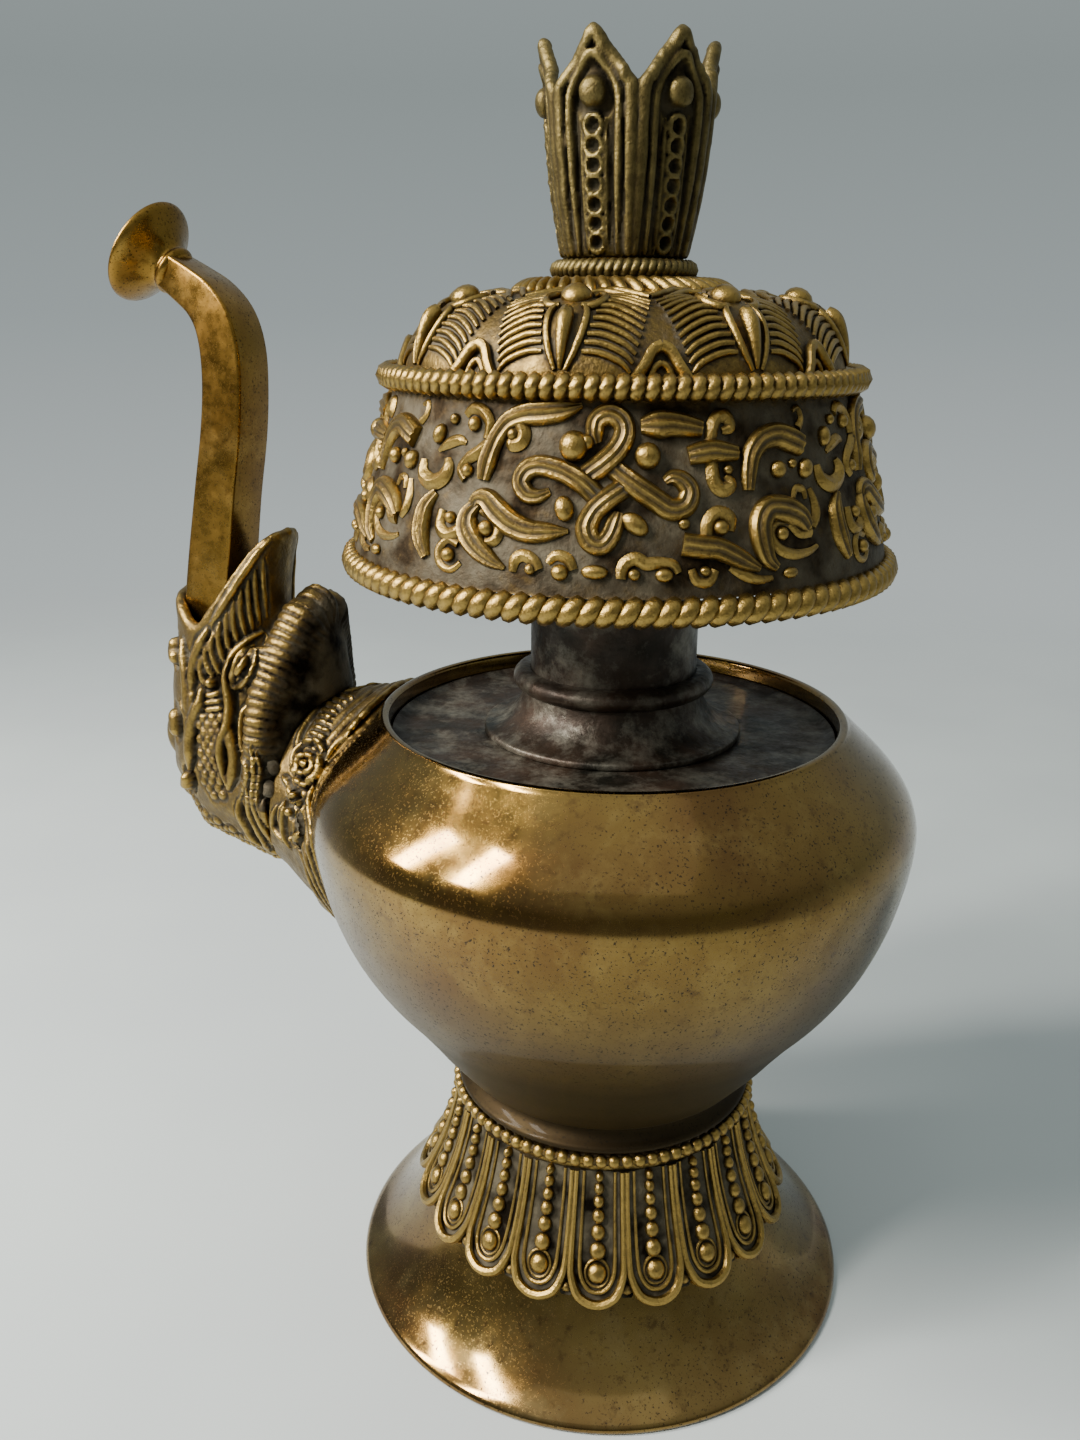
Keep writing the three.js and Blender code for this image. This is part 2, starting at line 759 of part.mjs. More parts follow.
function crownCup() {
  const pitch = (2 * Math.PI) / crownLeaves;
  const rows = 4;
  const roundShare = 0.45; // the rest of the section follows flat panels
  const wall = smooth(
    [
      [crownBaseRadius, 0],
      [crownBaseRadius + crownSwell, crownHeight * 0.42],
      [crownBaseRadius + crownSpread, crownHeight],
    ],
    12,
  );
  const floor = crownFoot + crownWall;
  const columns = columnsRound(crownLeaves, leafColumns, leafTurn * radians);
  return turnedByAngle(columns, ({ share, relief, drop }) => {
    const flatness = Math.cos(pitch / 2) / Math.cos(share * pitch);
    const panel = roundShare + (1 - roundShare) * flatness;
    const top = crownHeight - crownNotchDepth * drop;
    const outer = Array.from({ length: rows }, (_, k) => {
      const height = (top * k) / (rows - 1);
      return [radiusAt(wall, height) * panel + (k ? relief : 0), crownFoot + height];
    });
    return [
      ...outer,
      [radiusAt(wall, top) * panel - crownWall, crownFoot + top],
      [radiusAt(wall, crownWall) * panel - crownWall, floor],
      [tenonBore, floor],
      [tenonBore, crownFoot],
    ];
  });
}

// Spout root: a cuff with two raised edges, cut to the belly that it is soldered to.
function bellyBlock() {
  const outline = beside([...bowlCurve, ...shoulderCurve.slice(1)], -solderGap);
  const low = outline[0][1];
  const high = outline[outline.length - 1][1];
  return turned([[0, low], ...outline, [0, high]]);
}

function cuffForm(spread) {
  return solidOf(
    skin([
      rootRing(-cuffBuried, cuffRadius + 1 + spread),
      rootRing(cuffLength * 0.075, cuffRadius + spread),
      rootRing(cuffLength * 0.2, cuffRadius - cuffTaper * 0.05 + spread),
      rootRing(cuffLength * 0.25, cuffRadius - cuffTaper * 0.25 + spread),
      rootRing(cuffLength * 0.45, cuffRadius - cuffTaper * 0.425 + spread),
      rootRing(cuffLength * 0.85, cuffEndRadius + cuffTaper * 0.1 + spread),
      rootRing(cuffLength + spread, cuffEndRadius + spread),
    ]),
  );
}

function spoutCuff() {
  const inner = skin([
    rootRing(-cuffBuried - 1, cuffRadius - cuffWall),
    rootRing(cuffLength * 0.075, cuffRadius - cuffWall),
    rootRing(cuffLength + 1, cuffEndRadius - cuffWall),
  ]);
  return setOnBelly(cuffForm(0).subtract(solidOf(inner))).subtract(bellyBlock());
}

// Head: a hollow casting with an open upward mouth, lips, crest, rolled mane, eyes and curls.
function headRings(inset) {
  const first = rootRing(cuffLength + solderGap, cuffEndRadius - inset, slimSides);
  const rest = headSections.map(([reach, height, tilt, deep, wide]) =>
    oval([reach, height], tilt, deep - inset, wide - inset),
  );
  return [first, ...rest];
}

// Everything above the line from the crest over the corner of the mouth to the lip's tip
function lipCutter() {
  const margin = 20;
  const width = 80;
  const outline = [
    [crestTip[0] - margin, crestTip[1] + 2 * crestCap],
    [crestTip[0] - crestCap, crestTip[1] + crestCap],
    lipCorner,
    lipTip,
    [lipTip[0] + margin, lipTip[1] + crestCap],
    [lipTip[0] + margin, crestTip[1] + margin],
    [crestTip[0] - margin, crestTip[1] + margin],
  ];
  const shape = new THREE.Shape(outline.map(([x, y]) => new THREE.Vector2(x, y)));
  const block = new THREE.ExtrudeGeometry(shape, { depth: width, bevelEnabled: false });
  return solidOf(block.rotateX(Math.PI / 2).translate(0, width / 2, 0));
}

// The value at a place between the rows of a table that rises or falls in its column called key.
function between(rows, key, place) {
  const next = rows.findIndex((row) => row[key] >= place);
  if (next < 1) return next === 0 ? rows[0] : rows[rows.length - 1];
  const [before, after] = [rows[next - 1], rows[next]];
  const share = (place - before[key]) / (after[key] - before[key]);
  return before.map((value, i) => value + (after[i] - value) * share);
}

// A rolled edge that runs round the cut rim of the head, in the middle of its wall
function lips() {
  const stations = 16;
  const passes = 8; // the height of the cut and the head's girth there settle together
  const rim = Array.from({ length: stations }, (_, i) => {
    const turn = (2 * Math.PI * (i + 0.5)) / stations;
    let [reach, height] = lipCorner;
    let side = 0;
    for (let pass = 0; pass < passes; pass++) {
      height = between([crestTip, lipCorner, lipTip], 0, reach)[1];
      const [middle, , , deep, wide] = between(headSections, 1, height);
      reach = middle - (deep - lipThickness / 2) * Math.cos(turn);
      side = (wide - lipThickness / 2) * Math.sin(turn);
    }
    return [reach, side, height - lipSink, lipRoll];
  });
  return roll(rim, 26, 7, true);
}

// The left and right eye: a lid and a ball on it
function eyes() {
  const lidSize = [eyeLength / 2, eyeRelief, eyeWidth / 2];
  const ballSize = lidSize.map((size) => size / 2);
  const [reach, height] = eyePlace;
  const parts = [1, -1].flatMap((side) => [
    boss(reach, side * eyeSpread, height, lidSize, eyeTilt),
    boss(reach, side * (eyeSpread + eyeBallOut), height, ballSize, eyeTilt),
  ]);
  return parts.reduce((sum, part) => sum.add(part));
}

// The solid back of the neck, from the mane's knob down to the cuff
function nape() {
  const rings = napeSections.map(([reach, height, deep, wide]) => oval([reach, height], 90, deep, wide, 16));
  return solidOf(skin(rings));
}

function tubeRing(station, inset) {
  const [reach, height, deep, wide] = tubeStations[station];
  const before = tubeStations[Math.max(station - 1, 0)];
  const after = tubeStations[Math.min(station + 1, tubeStations.length - 1)];
  const tilt = Math.atan2(after[1] - before[1], after[0] - before[0]) / radians;
  return square([reach, height], tilt, deep - inset, wide - inset);
}

// The water's way through the head: a chamber behind the cuff, and a throat from there to the tube's foot
function waterWay() {
  const behind = rootRing(cuffLength - 1, cuffEndRadius - headWall, slimSides);
  const chamber = [behind, ...headRings(headWall).slice(0, 3)];
  const [, start] = headSections;
  const [end] = tubeStations;
  const tilt = Math.atan2(end[1] - start[1], end[0] - start[0]) / radians;
  const throat = [start, end].map((place) => oval(place, tilt, throatRadius, throatRadius, 12));
  return solidOf(skin(chamber)).add(solidOf(skin(throat)));
}

// The open mouth round the tube
function gullet() {
  const above = 10;
  const [jaw, mouth, palate, brim] = headRings(lipThickness).slice(3);
  const floor = jaw.map((point) => point.clone().setZ(mouthFloor));
  const top = brim.map((point) => point.clone().setZ(point.z + above));
  return solidOf(skin([floor, mouth, palate, top]));
}

function dragonHead() {
  const pocket = solidOf(skin([0, 1].map((station) => tubeRing(station, -solderGap))));
  const shell = solidOf(skin(headRings(0))).subtract(gullet()).subtract(lipCutter());
  const mane = roll(acrossMiddle(maneStations), 24, 8).add(nape());
  const dressed = chinCurls.reduce(
    (sum, [reach, height, ...sizes]) => sum.add(boss(reach, 0, height, sizes)),
    shell.add(lips()).add(mane.subtract(cuffForm(solderGap))).add(eyes()),
  );
  return setOnBelly(dressed.subtract(waterWay()).subtract(pocket));
}

function spoutTube() {
  const stations = tubeStations.map((_, i) => i);
  const outside = solidOf(skin(stations.map((i) => tubeRing(i, 0))));
  const bore = stations.map((i) => tubeRing(i, tubeWall));
  const below = bore[0].map((point, i) => point.clone().lerp(bore[1][i], -0.1));
  const [previous, end] = bore.slice(-2);
  const beyond = end.map((point, i) => point.clone().lerp(previous[i], -0.4));
  return setOnBelly(outside.subtract(solidOf(skin([below, ...bore, beyond]))));
}

function spoutMouth() {
  const [reach, height, , halfWidth] = tubeStations[tubeStations.length - 1];
  const foot = halfWidth + mouthSocketEdge;
  const mouthFlare = mouthRadius - foot;
  const flower = turned(
    [
      [mouthBore, solderGap],
      [foot, solderGap],
      [foot - mouthFlare * 0.06, mouthDepth * 0.19],
      [foot + mouthFlare * 0.07, mouthDepth * 0.42],
      [foot + mouthFlare * 0.44, mouthDepth * 0.66],
      [mouthRadius - mouthFlare * 0.13, mouthDepth * 0.84],
      [mouthRadius, mouthDepth * 0.94],
      [mouthRadius - mouthFlare * 0.1, mouthDepth * 1.08],
      [mouthRadius - mouthFlare * 0.5, mouthDepth * 0.94],
      [mouthBore + mouthFlare * 0.35, mouthDepth * 0.72],
      [mouthBore, mouthDepth * 0.4],
    ],
    slimSides,
  );
  return setOnBelly(flower.rotate([0, 90 - mouthTilt, 0]).translate([reach, 0, height]));
}

// Finishes: colour, roughness and metalness of each kind of surface.
const finishes = {
  polishedBrass: { color: 0x94702f, roughness: 0.3, metalness: 1 },
  castBrass: { color: 0x8a7440, roughness: 0.5, metalness: 1 },
  dullBronze: { color: 0x6b5c3a, roughness: 0.62, metalness: 0.9 },
  darkPatina: { color: 0x2c2a24, roughness: 0.55, metalness: 0.6 },
};

const pieces = [
  ["foot_pedestal", footPedestal, "polishedBrass"],
  ["foot_lotus_collar", lotusCollar, "castBrass"],
  ["foot_bead_ring", footBeadRing, "castBrass"],
  ["belly_bowl", bellyBowl, "polishedBrass"],
  ["belly_shoulder", bellyShoulder, "polishedBrass"],
  ["shoulder_plate", shoulderPlate, "darkPatina"],
  ["neck_flange", neckFlange, "darkPatina"],
  ["neck_ring", neckRing, "darkPatina"],
  ["neck_tube", neckTube, "darkPatina"],
  ["mouth_socket", mouthSocket, "darkPatina"],
  ["canopy_lower_rope", canopyLowerRope, "castBrass"],
  ["canopy_band", canopyBand, "castBrass"],
  ["canopy_upper_rope", canopyUpperRope, "castBrass"],
  ["canopy_dome", canopyDome, "castBrass"],
  ["dome_collar_rope", domeCollarRope, "castBrass"],
  ["crown_tenon", crownTenon, "dullBronze"],
  ["crown_rope_ring", crownRopeRing, "dullBronze"],
  ["crown_cup", crownCup, "dullBronze"],
  ["spout_cuff", spoutCuff, "castBrass"],
  ["dragon_head", dragonHead, "castBrass"],
  ["spout_tube", spoutTube, "polishedBrass"],
  ["spout_mouth", spoutMouth, "polishedBrass"],
];

function meshOf(name, solid, finish) {
  const { vertProperties, numProp, triVerts } = solid.getMesh();
  const geometry = new THREE.BufferGeometry();
  const corners = new Float32Array((vertProperties.length / numProp) * 3);
  for (let i = 0; i < corners.length / 3; i++) {
    for (let axis = 0; axis < 3; axis++) corners[i * 3 + axis] = vertProperties[i * numProp + axis];
  }
  geometry.setAttribute("position", new THREE.BufferAttribute(corners, 3));
  geometry.setIndex(new THREE.BufferAttribute(new Uint32Array(triVerts), 1));
  geometry.computeVertexNormals();
  const mesh = new THREE.Mesh(geometry, new THREE.MeshStandardMaterial(finishes[finish]));
  mesh.name = name;
  return mesh;
}

const ewer = new THREE.Group();
pieces.forEach(([name, make, finish]) => ewer.add(meshOf(name, make(), finish)));

// The origin is the middle of the object's footprint box, so the vessel's axis stands to one side of it.
const spread = new THREE.Box3().setFromObject(ewer);
ewer.position.x = -(spread.min.x + spread.max.x) / 2;

export default ewer;
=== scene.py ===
import bisect
import json
import math

import bpy
from mathutils import Matrix, Quaternion, Vector
from mathutils.bvhtree import BVHTree
from mathutils.kdtree import KDTree


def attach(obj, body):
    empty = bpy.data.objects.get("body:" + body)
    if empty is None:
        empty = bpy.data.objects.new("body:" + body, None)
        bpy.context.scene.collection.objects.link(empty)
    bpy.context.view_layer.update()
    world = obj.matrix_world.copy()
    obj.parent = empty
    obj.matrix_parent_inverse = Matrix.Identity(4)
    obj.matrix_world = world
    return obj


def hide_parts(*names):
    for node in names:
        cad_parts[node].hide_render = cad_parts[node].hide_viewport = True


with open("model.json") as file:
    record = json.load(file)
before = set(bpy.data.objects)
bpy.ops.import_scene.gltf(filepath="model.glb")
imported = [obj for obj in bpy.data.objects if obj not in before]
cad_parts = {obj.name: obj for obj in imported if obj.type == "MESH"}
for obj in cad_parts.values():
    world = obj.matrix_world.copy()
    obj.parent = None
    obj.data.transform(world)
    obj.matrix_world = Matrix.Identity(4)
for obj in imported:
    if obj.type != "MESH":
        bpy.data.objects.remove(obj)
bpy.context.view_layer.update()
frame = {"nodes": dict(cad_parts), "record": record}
print("stage: frame loaded")

# Pieces are modelled in millimetres round the vessel's own axis, and brought to metres when they are placed.
vesselAxis = Vector((25.887, 0, 0))
millimetre = 0.001
roundSteps = 144  # facets of the spun pieces


# Selecting and editing
def deselectAll():
    if bpy.context.object and bpy.context.object.mode != "OBJECT":
        bpy.ops.object.mode_set(mode="OBJECT")
    bpy.ops.object.select_all(action="DESELECT")


def selectOnly(*chosen):
    deselectAll()
    for each in chosen:
        each.select_set(True)
    bpy.context.view_layer.objects.active = chosen[0]


def editAll(piece):
    selectOnly(piece)
    bpy.ops.object.mode_set(mode="EDIT")
    bpy.ops.mesh.select_all(action="SELECT")


def tidyMesh(piece, merge=0.002):
    editAll(piece)
    bpy.ops.mesh.remove_doubles(threshold=merge)
    bpy.ops.mesh.normals_make_consistent(inside=False)
    bpy.ops.object.mode_set(mode="OBJECT")
    return piece


def joined(name, parts):
    selectOnly(*parts)
    if len(parts) > 1:
        bpy.ops.object.join()
    piece = bpy.context.object
    piece.name = name
    return piece


def copied(piece, turn=0, shift=(0, 0, 0)):
    # a copy with its own mesh, turned round the vessel's axis and moved
    twin = piece.copy()
    twin.data = piece.data.copy()
    twin.data.transform(Matrix.Translation(shift) @ Matrix.Rotation(turn, 4, "Z"))
    bpy.context.scene.collection.objects.link(twin)
    return twin


def ringOf(name, part, count, firstTurn=0):
    step = 2 * math.pi / count
    copies = [copied(part, firstTurn + i * step) for i in range(count)]
    bpy.data.objects.remove(part)
    return joined(name, copies)


def applyAll(piece):
    selectOnly(piece)
    for modifier in list(piece.modifiers):
        bpy.ops.object.modifier_apply(modifier=modifier.name)


def place(piece, body, slotName, finish, *standsFor, smoothAngle=40):
    selectOnly(piece)
    bpy.ops.object.shade_smooth_by_angle(angle=math.radians(smoothAngle))
    toFrame = Matrix.Scale(millimetre, 4) @ Matrix.Translation(vesselAxis)
    piece.data.transform(toFrame @ piece.matrix_world)
    piece.matrix_world = Matrix.Identity(4)
    piece.data.materials.clear()
    piece.data.materials.append(finish)
    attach(piece, body)
    if standsFor:
        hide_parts(*standsFor)
    return piece


# Lines and outlines
def catmull(points, perSpan):
    # a smooth line through the points
    line = []
    last = len(points) - 1
    for i in range(last):
        near = [points[max(0, min(last, i + k))] for k in (-1, 0, 1, 2)]
        for k in range(perSpan):
            t = k / perSpan
            blends = 2 * t**2 - t - t**3, 2 - 5 * t**2 + 3 * t**3, t + 4 * t**2 - 3 * t**3, t**3 - t**2
            line.append(tuple(0.5 * sum(b * v for b, v in zip(blends, spots)) for spots in zip(*near)))
    line.append(tuple(points[-1]))
    return line


def lengthsAlong(points):
    lengths = [0.0]
    for here, there in zip(points, points[1:]):
        lengths.append(lengths[-1] + math.dist(here, there))
    return lengths


def circleOutline(radius, middle, girth, steps):
    # the round section of a ring, from its outer side round to there again
    turns = [2 * math.pi * i / steps for i in range(steps + 1)]
    return [(radius + girth * math.cos(a), middle + girth * math.sin(a)) for a in turns]


def bothSides(half):
    # a line that is the same on both sides, from its left end over the middle to its right end
    return [(-x, *rest) for x, *rest in half] + half[-2::-1]


def radiusAt(outline, height):
    i = max(1, min(len(outline) - 1, bisect.bisect([point[1] for point in outline], height)))
    (r0, z0), (r1, z1) = outline[i - 1], outline[i]
    return r0 + (r1 - r0) * (height - z0) / (z1 - z0)


def offsetOutline(outline, distance):
    # an outline of (radius, height) points moved to the right of its own direction
    moved = []
    for i, (radius, height) in enumerate(outline):
        before = outline[max(i - 1, 0)]
        after = outline[min(i + 1, len(outline) - 1)]
        length = math.dist(before, after)
        across = (after[1] - before[1]) / length, (before[0] - after[0]) / length
        moved.append((radius + across[0] * distance, height + across[1] * distance))
    return moved


def surfaceOver(outline, scaleRadius, turn=0):
    # maps a flat drawing (along the ring, up the outline, off the surface) onto a spun surface
    skin = offsetOutline(outline, 1)
    lengths = lengthsAlong(outline)

    def at(x, y, off):
        i = max(0, min(len(outline) - 2, bisect.bisect_right(lengths, y) - 1))
        t = (y - lengths[i]) / (lengths[i + 1] - lengths[i])
        radius, height = (outline[i][k] + (outline[i + 1][k] - outline[i][k]) * t for k in (0, 1))
        farRadius, farHeight = (skin[i][k] + (skin[i + 1][k] - skin[i][k]) * t for k in (0, 1))
        radius += (farRadius - radius) * off
        height += (farHeight - height) * off
        angle = turn + x / scaleRadius
        return radius * math.sin(angle), -radius * math.cos(angle), height

    return at


def wrapOn(piece, at):
    for corner in piece.data.vertices:
        corner.co = at(*corner.co)
    return piece


def spun(name, outline, steps=roundSteps):
    # one corner is extruded from point to point of the outline, and the line is spun round the axis
    deselectAll()
    bpy.ops.mesh.primitive_plane_add(size=1)
    piece = bpy.context.object
    piece.name = name
    bpy.ops.object.mode_set(mode="EDIT")
    bpy.ops.mesh.select_all(action="SELECT")
    bpy.ops.mesh.merge(type="CENTER")
    bpy.ops.transform.translate(value=(outline[0][0], 0, outline[0][1]))
    for here, there in zip(outline, outline[1:]):
        step = (there[0] - here[0], 0, there[1] - here[1])
        bpy.ops.mesh.extrude_vertices_move(TRANSFORM_OT_translate={"value": step})
    bpy.ops.mesh.select_all(action="SELECT")
    bpy.ops.mesh.spin(steps=steps, angle=2 * math.pi, center=(0, 0, 0), axis=(0, 0, 1))
    return tidyMesh(piece)


def meshOf(name, corners, faces):
    data = bpy.data.meshes.new(name)
    data.from_pydata(corners, [], faces)
    piece = bpy.data.objects.new(name, data)
    bpy.context.scene.collection.objects.link(piece)
    return piece


# Chased and cast ornament
def sectionCurve(name, points):
    data = bpy.data.curves.new(name, "CURVE")
    data.dimensions = "2D"
    spline = data.splines.new("POLY")
    spline.points.add(len(points) - 1)
    for point, (x, y) in zip(spline.points, points):
        point.co = (x, y, 0, 1)
    spline.use_cyclic_u = True
    section = bpy.data.objects.new(name, data)
    bpy.context.scene.collection.objects.link(section)
    return section


def groovedSection(ridges, sink=0.45, crown=0.85, groove=0.17, bow=0.75):
    # the upper side of a ribbon: ridges along it under one low arch. The lower side is sunk in the ground.
    count = ridges * 4
    upper = []
    for i in range(count + 1):
        across = -1 + 2 * i / count
        arch = crown * math.sqrt(max(0, 1 - bow * across**2))
        upper.append((across, arch - groove * (0.5 + 0.5 * math.cos(math.pi * i / 2))))
    return [(-1, -sink), *upper, (1, -sink)][::-1]


def ribbon(points, section, perSpan=5, thinnest=0.08):
    # a strip along (x, y, half width, lift) points, with the given section or a round one
    data = bpy.data.curves.new("ribbon", "CURVE")
    data.dimensions = "3D"
    data.twist_mode = "Z_UP"
    data.use_fill_caps = True
    if section:
        data.bevel_mode = "OBJECT"
        data.bevel_object = section
    else:
        data.bevel_depth = 1
        data.bevel_resolution = 2
    line = catmull([(*p[:3], p[3] if len(p) > 3 else 0) for p in points], perSpan)
    spline = data.splines.new("POLY")
    spline.points.add(len(line) - 1)
    for point, (x, y, halfWidth, lift) in zip(spline.points, line):
        point.co = (x, y, lift, 1)
        point.radius = max(halfWidth, thinnest)
    strip = bpy.data.objects.new("ribbon", data)
    bpy.context.scene.collection.objects.link(strip)
    selectOnly(strip)
    bpy.ops.object.convert(target="MESH")
    return bpy.context.object


def ball(x, y, radius, lift=0, stretch=(1, 1, 0.85), turn=0, segments=14, rings=8):
    deselectAll()
    bpy.ops.mesh.primitive_uv_sphere_add(
        segments=segments, ring_count=rings, radius=radius, location=(x, y, lift), rotation=(0, 0, turn), scale=stretch
    )
    bpy.ops.object.transform_apply(location=True, rotation=True, scale=True)
    return bpy.context.object


def meshTree(*pieces, moved=Vector.copy):
    corners, faces = [], []
    for each in pieces:
        faces += [[len(corners) + i for i in face.vertices] for face in each.data.polygons]
        corners += [moved(corner.co) for corner in each.data.vertices]
    return BVHTree.FromPolygons(corners, faces)


def markRecesses(piece, reach, rays=10, others=(), evening=12, proudest=0.22, lowestRay=0.25):
    # An attribute on each corner, from 0 in a crevice over 0.75 on flat ground to 1 on a ridge. Half of it is how
    # open the surface is within reach, and half is how far the corner stands proud of the evened surface. The cast
    # finishes colour the metal by it, so it paints shade into crevices and where parts close round each other.
    mesh = piece.data
    tree = meshTree(piece, *others)
    even = copied(piece)
    smoothing = even.modifiers.new("smoothing", "SMOOTH")
    smoothing.iterations = evening
    applyAll(even)
    golden = math.pi * (3 - math.sqrt(5))
    fan = []
    for i in range(rays):
        up = lowestRay + (1 - lowestRay) * (i + 0.5) / rays
        side = math.sqrt(1 - up * up)
        fan.append((side * math.cos(golden * i), side * math.sin(golden * i), up))
    openness = mesh.attributes.new("openness", "FLOAT", "POINT")
    for i, corner in enumerate(mesh.vertices):
        normal = corner.normal
        across = normal.orthogonal().normalized()
        other = normal.cross(across)
        start = corner.co + normal * reach * 0.02
        free = 0
        for a, b, c in fan:
            hit = tree.ray_cast(start, across * a + other * b + normal * c, reach)
            free += 1 if hit[0] is None else hit[3] / reach
        proud = (corner.co - even.data.vertices[i].co).dot(normal) / proudest
        openness.data[i].value = 0.5 * free / rays + 0.25 * (1 + max(-1, min(1, proud)))
    bpy.data.objects.remove(even)
    return piece


# Cast pieces
def castCopy(name, node, grain, passes):
    # the solid's own form in millimetres round the axis, with its facets rounded off
    piece = bpy.data.objects.new(name, frame["nodes"][node].data.copy())
    bpy.context.scene.collection.objects.link(piece)
    piece.data.transform(Matrix.Translation(-vesselAxis) @ Matrix.Scale(1 / millimetre, 4))
    tidyMesh(piece, 0.01)
    voxels = piece.modifiers.new("voxels", "REMESH")
    voxels.mode = "VOXEL"
    voxels.voxel_size = grain
    rounding = piece.modifiers.new("rounding", "SMOOTH")
    rounding.iterations = passes
    finer = piece.modifiers.new("finer", "SUBSURF")
    finer.levels = 1
    applyAll(piece)
    return piece


def evenly(points, spacing):
    # points at equal distances along a smooth line through the given ones
    path = [Vector(p) for p in catmull([tuple(p) for p in points], 16)]
    lengths = lengthsAlong(path)
    count = max(2, math.ceil(lengths[-1] / spacing))
    line = []
    for k in range(count + 1):
        spot = lengths[-1] * k / count
        i = max(0, min(len(path) - 2, bisect.bisect_right(lengths, spot) - 1))
        t = (spot - lengths[i]) / max(lengths[i + 1] - lengths[i], 1e-9)
        line.append(path[i].lerp(path[i + 1], t))
    return line


def raiseLines(piece, lines, mirrored=True, spacing=0.3, groove=0.4, endShare=0.45, endSlope=2.6):
    # Each corner moves outwards by the highest line that passes it and inwards by the deepest.
    # Beside a line, as far out as its own half width, the ground is cut down a little. Lines taper to their ends.
    mesh = piece.data
    tree = meshTree(piece)
    marks = []
    for halfWidth, lift, points in lines:
        path = evenly(points, spacing) if len(points) > 1 else [Vector(points[0])]
        closed = len(points) > 2 and tuple(points[0]) == tuple(points[-1])
        for i, point in enumerate(path):
            share = i / max(1, len(path) - 1)
            taper = 1 if closed or len(path) == 1 else min(1, endShare + endSlope * min(share, 1 - share))
            near = tree.find_nearest(point)[0]
            marks.append((near, halfWidth * taper, lift * taper))
            if mirrored:
                marks.append((near * Vector((1, -1, 1)), halfWidth * taper, lift * taper))
    finder = KDTree(len(marks))
    for i, mark in enumerate(marks):
        finder.insert(mark[0], i)
    finder.balance()
    reach = 2 * max(mark[1] for mark in marks)
    moves = []
    for corner in mesh.vertices:
        high = low = beside = 0
        for _, index, distance in finder.find_range(corner.co, reach):
            _, halfWidth, lift = marks[index]
            if distance < halfWidth:
                lift *= math.sqrt(1 - (distance / halfWidth) ** 2)
                high = max(high, lift)
                low = min(low, lift)
            elif distance < 2 * halfWidth and lift > 0:
                beside = max(beside, lift * math.sin(math.pi * (distance / halfWidth - 1)))
        moves.append(corner.normal * ((high or -groove * beside) + low))
    for corner, move in zip(mesh.vertices, moves):
        corner.co += move
    mesh.update()


# Finishes
def linear(hexColour):
    channels = [int(hexColour[i : i + 2], 16) / 255 for i in (1, 3, 5)]
    return [c / 12.92 if c <= 0.04045 else ((c + 0.055) / 1.055) ** 2.4 for c in channels] + [1]


def setInputs(material, node, inputs):
    # a number or colour is set on the socket itself, and another node's output is linked to it
    for key, value in inputs.items():
        if isinstance(value, bpy.types.NodeSocket):
            material.node_tree.links.new(node.inputs[key], value)
        else:
            node.inputs[key].default_value = value


def addNode(material, kind, inputs=None, settings=None, ramp=None):
    node = material.node_tree.nodes.new("ShaderNode" + kind)
    for key, value in (settings or {}).items():
        setattr(node, key, value)
    if ramp:
        stops = node.color_ramp.elements
        while len(stops) < len(ramp):
            stops.new(0.5)
        for stop, (position, colour) in zip(stops, ramp):
            stop.position = position
            stop.color = linear(colour) if isinstance(colour, str) else [colour] * 3 + [1]
    setInputs(material, node, inputs or {})
    return node


def newFinish(name):
    material = bpy.data.materials.new(name)
    material.use_nodes = True
    shader = material.node_tree.nodes["Principled BSDF"]
    return material, shader, addNode(material, "TexCoord").outputs["Object"]


def noiseRamp(material, position, size, ramp, detail=3, roughness=0.55):
    # noise whose cells are about this many millimetres across, through a ramp
    inputs = {"Vector": position, "Scale": 1 / (size * millimetre), "Detail": detail, "Roughness": roughness}
    noise = addNode(material, "TexNoise", inputs)
    return addNode(material, "ValToRGB", {"Fac": noise.outputs["Fac"]}, None, ramp).outputs["Color"]


def mixed(material, share, below, above, blend="MIX"):
    inputs = {"Fac": share, "Color1": below, "Color2": above}
    return addNode(material, "MixRGB", inputs, {"blend_type": blend}).outputs["Color"]


def dented(material, shader, height, depth):
    # a bump of this many millimetres
    inputs = {"Height": height, "Distance": depth * millimetre, "Strength": 1.0}
    bump = addNode(material, "Bump", inputs)
    setInputs(material, shader, {"Normal": bump.outputs["Normal"]})


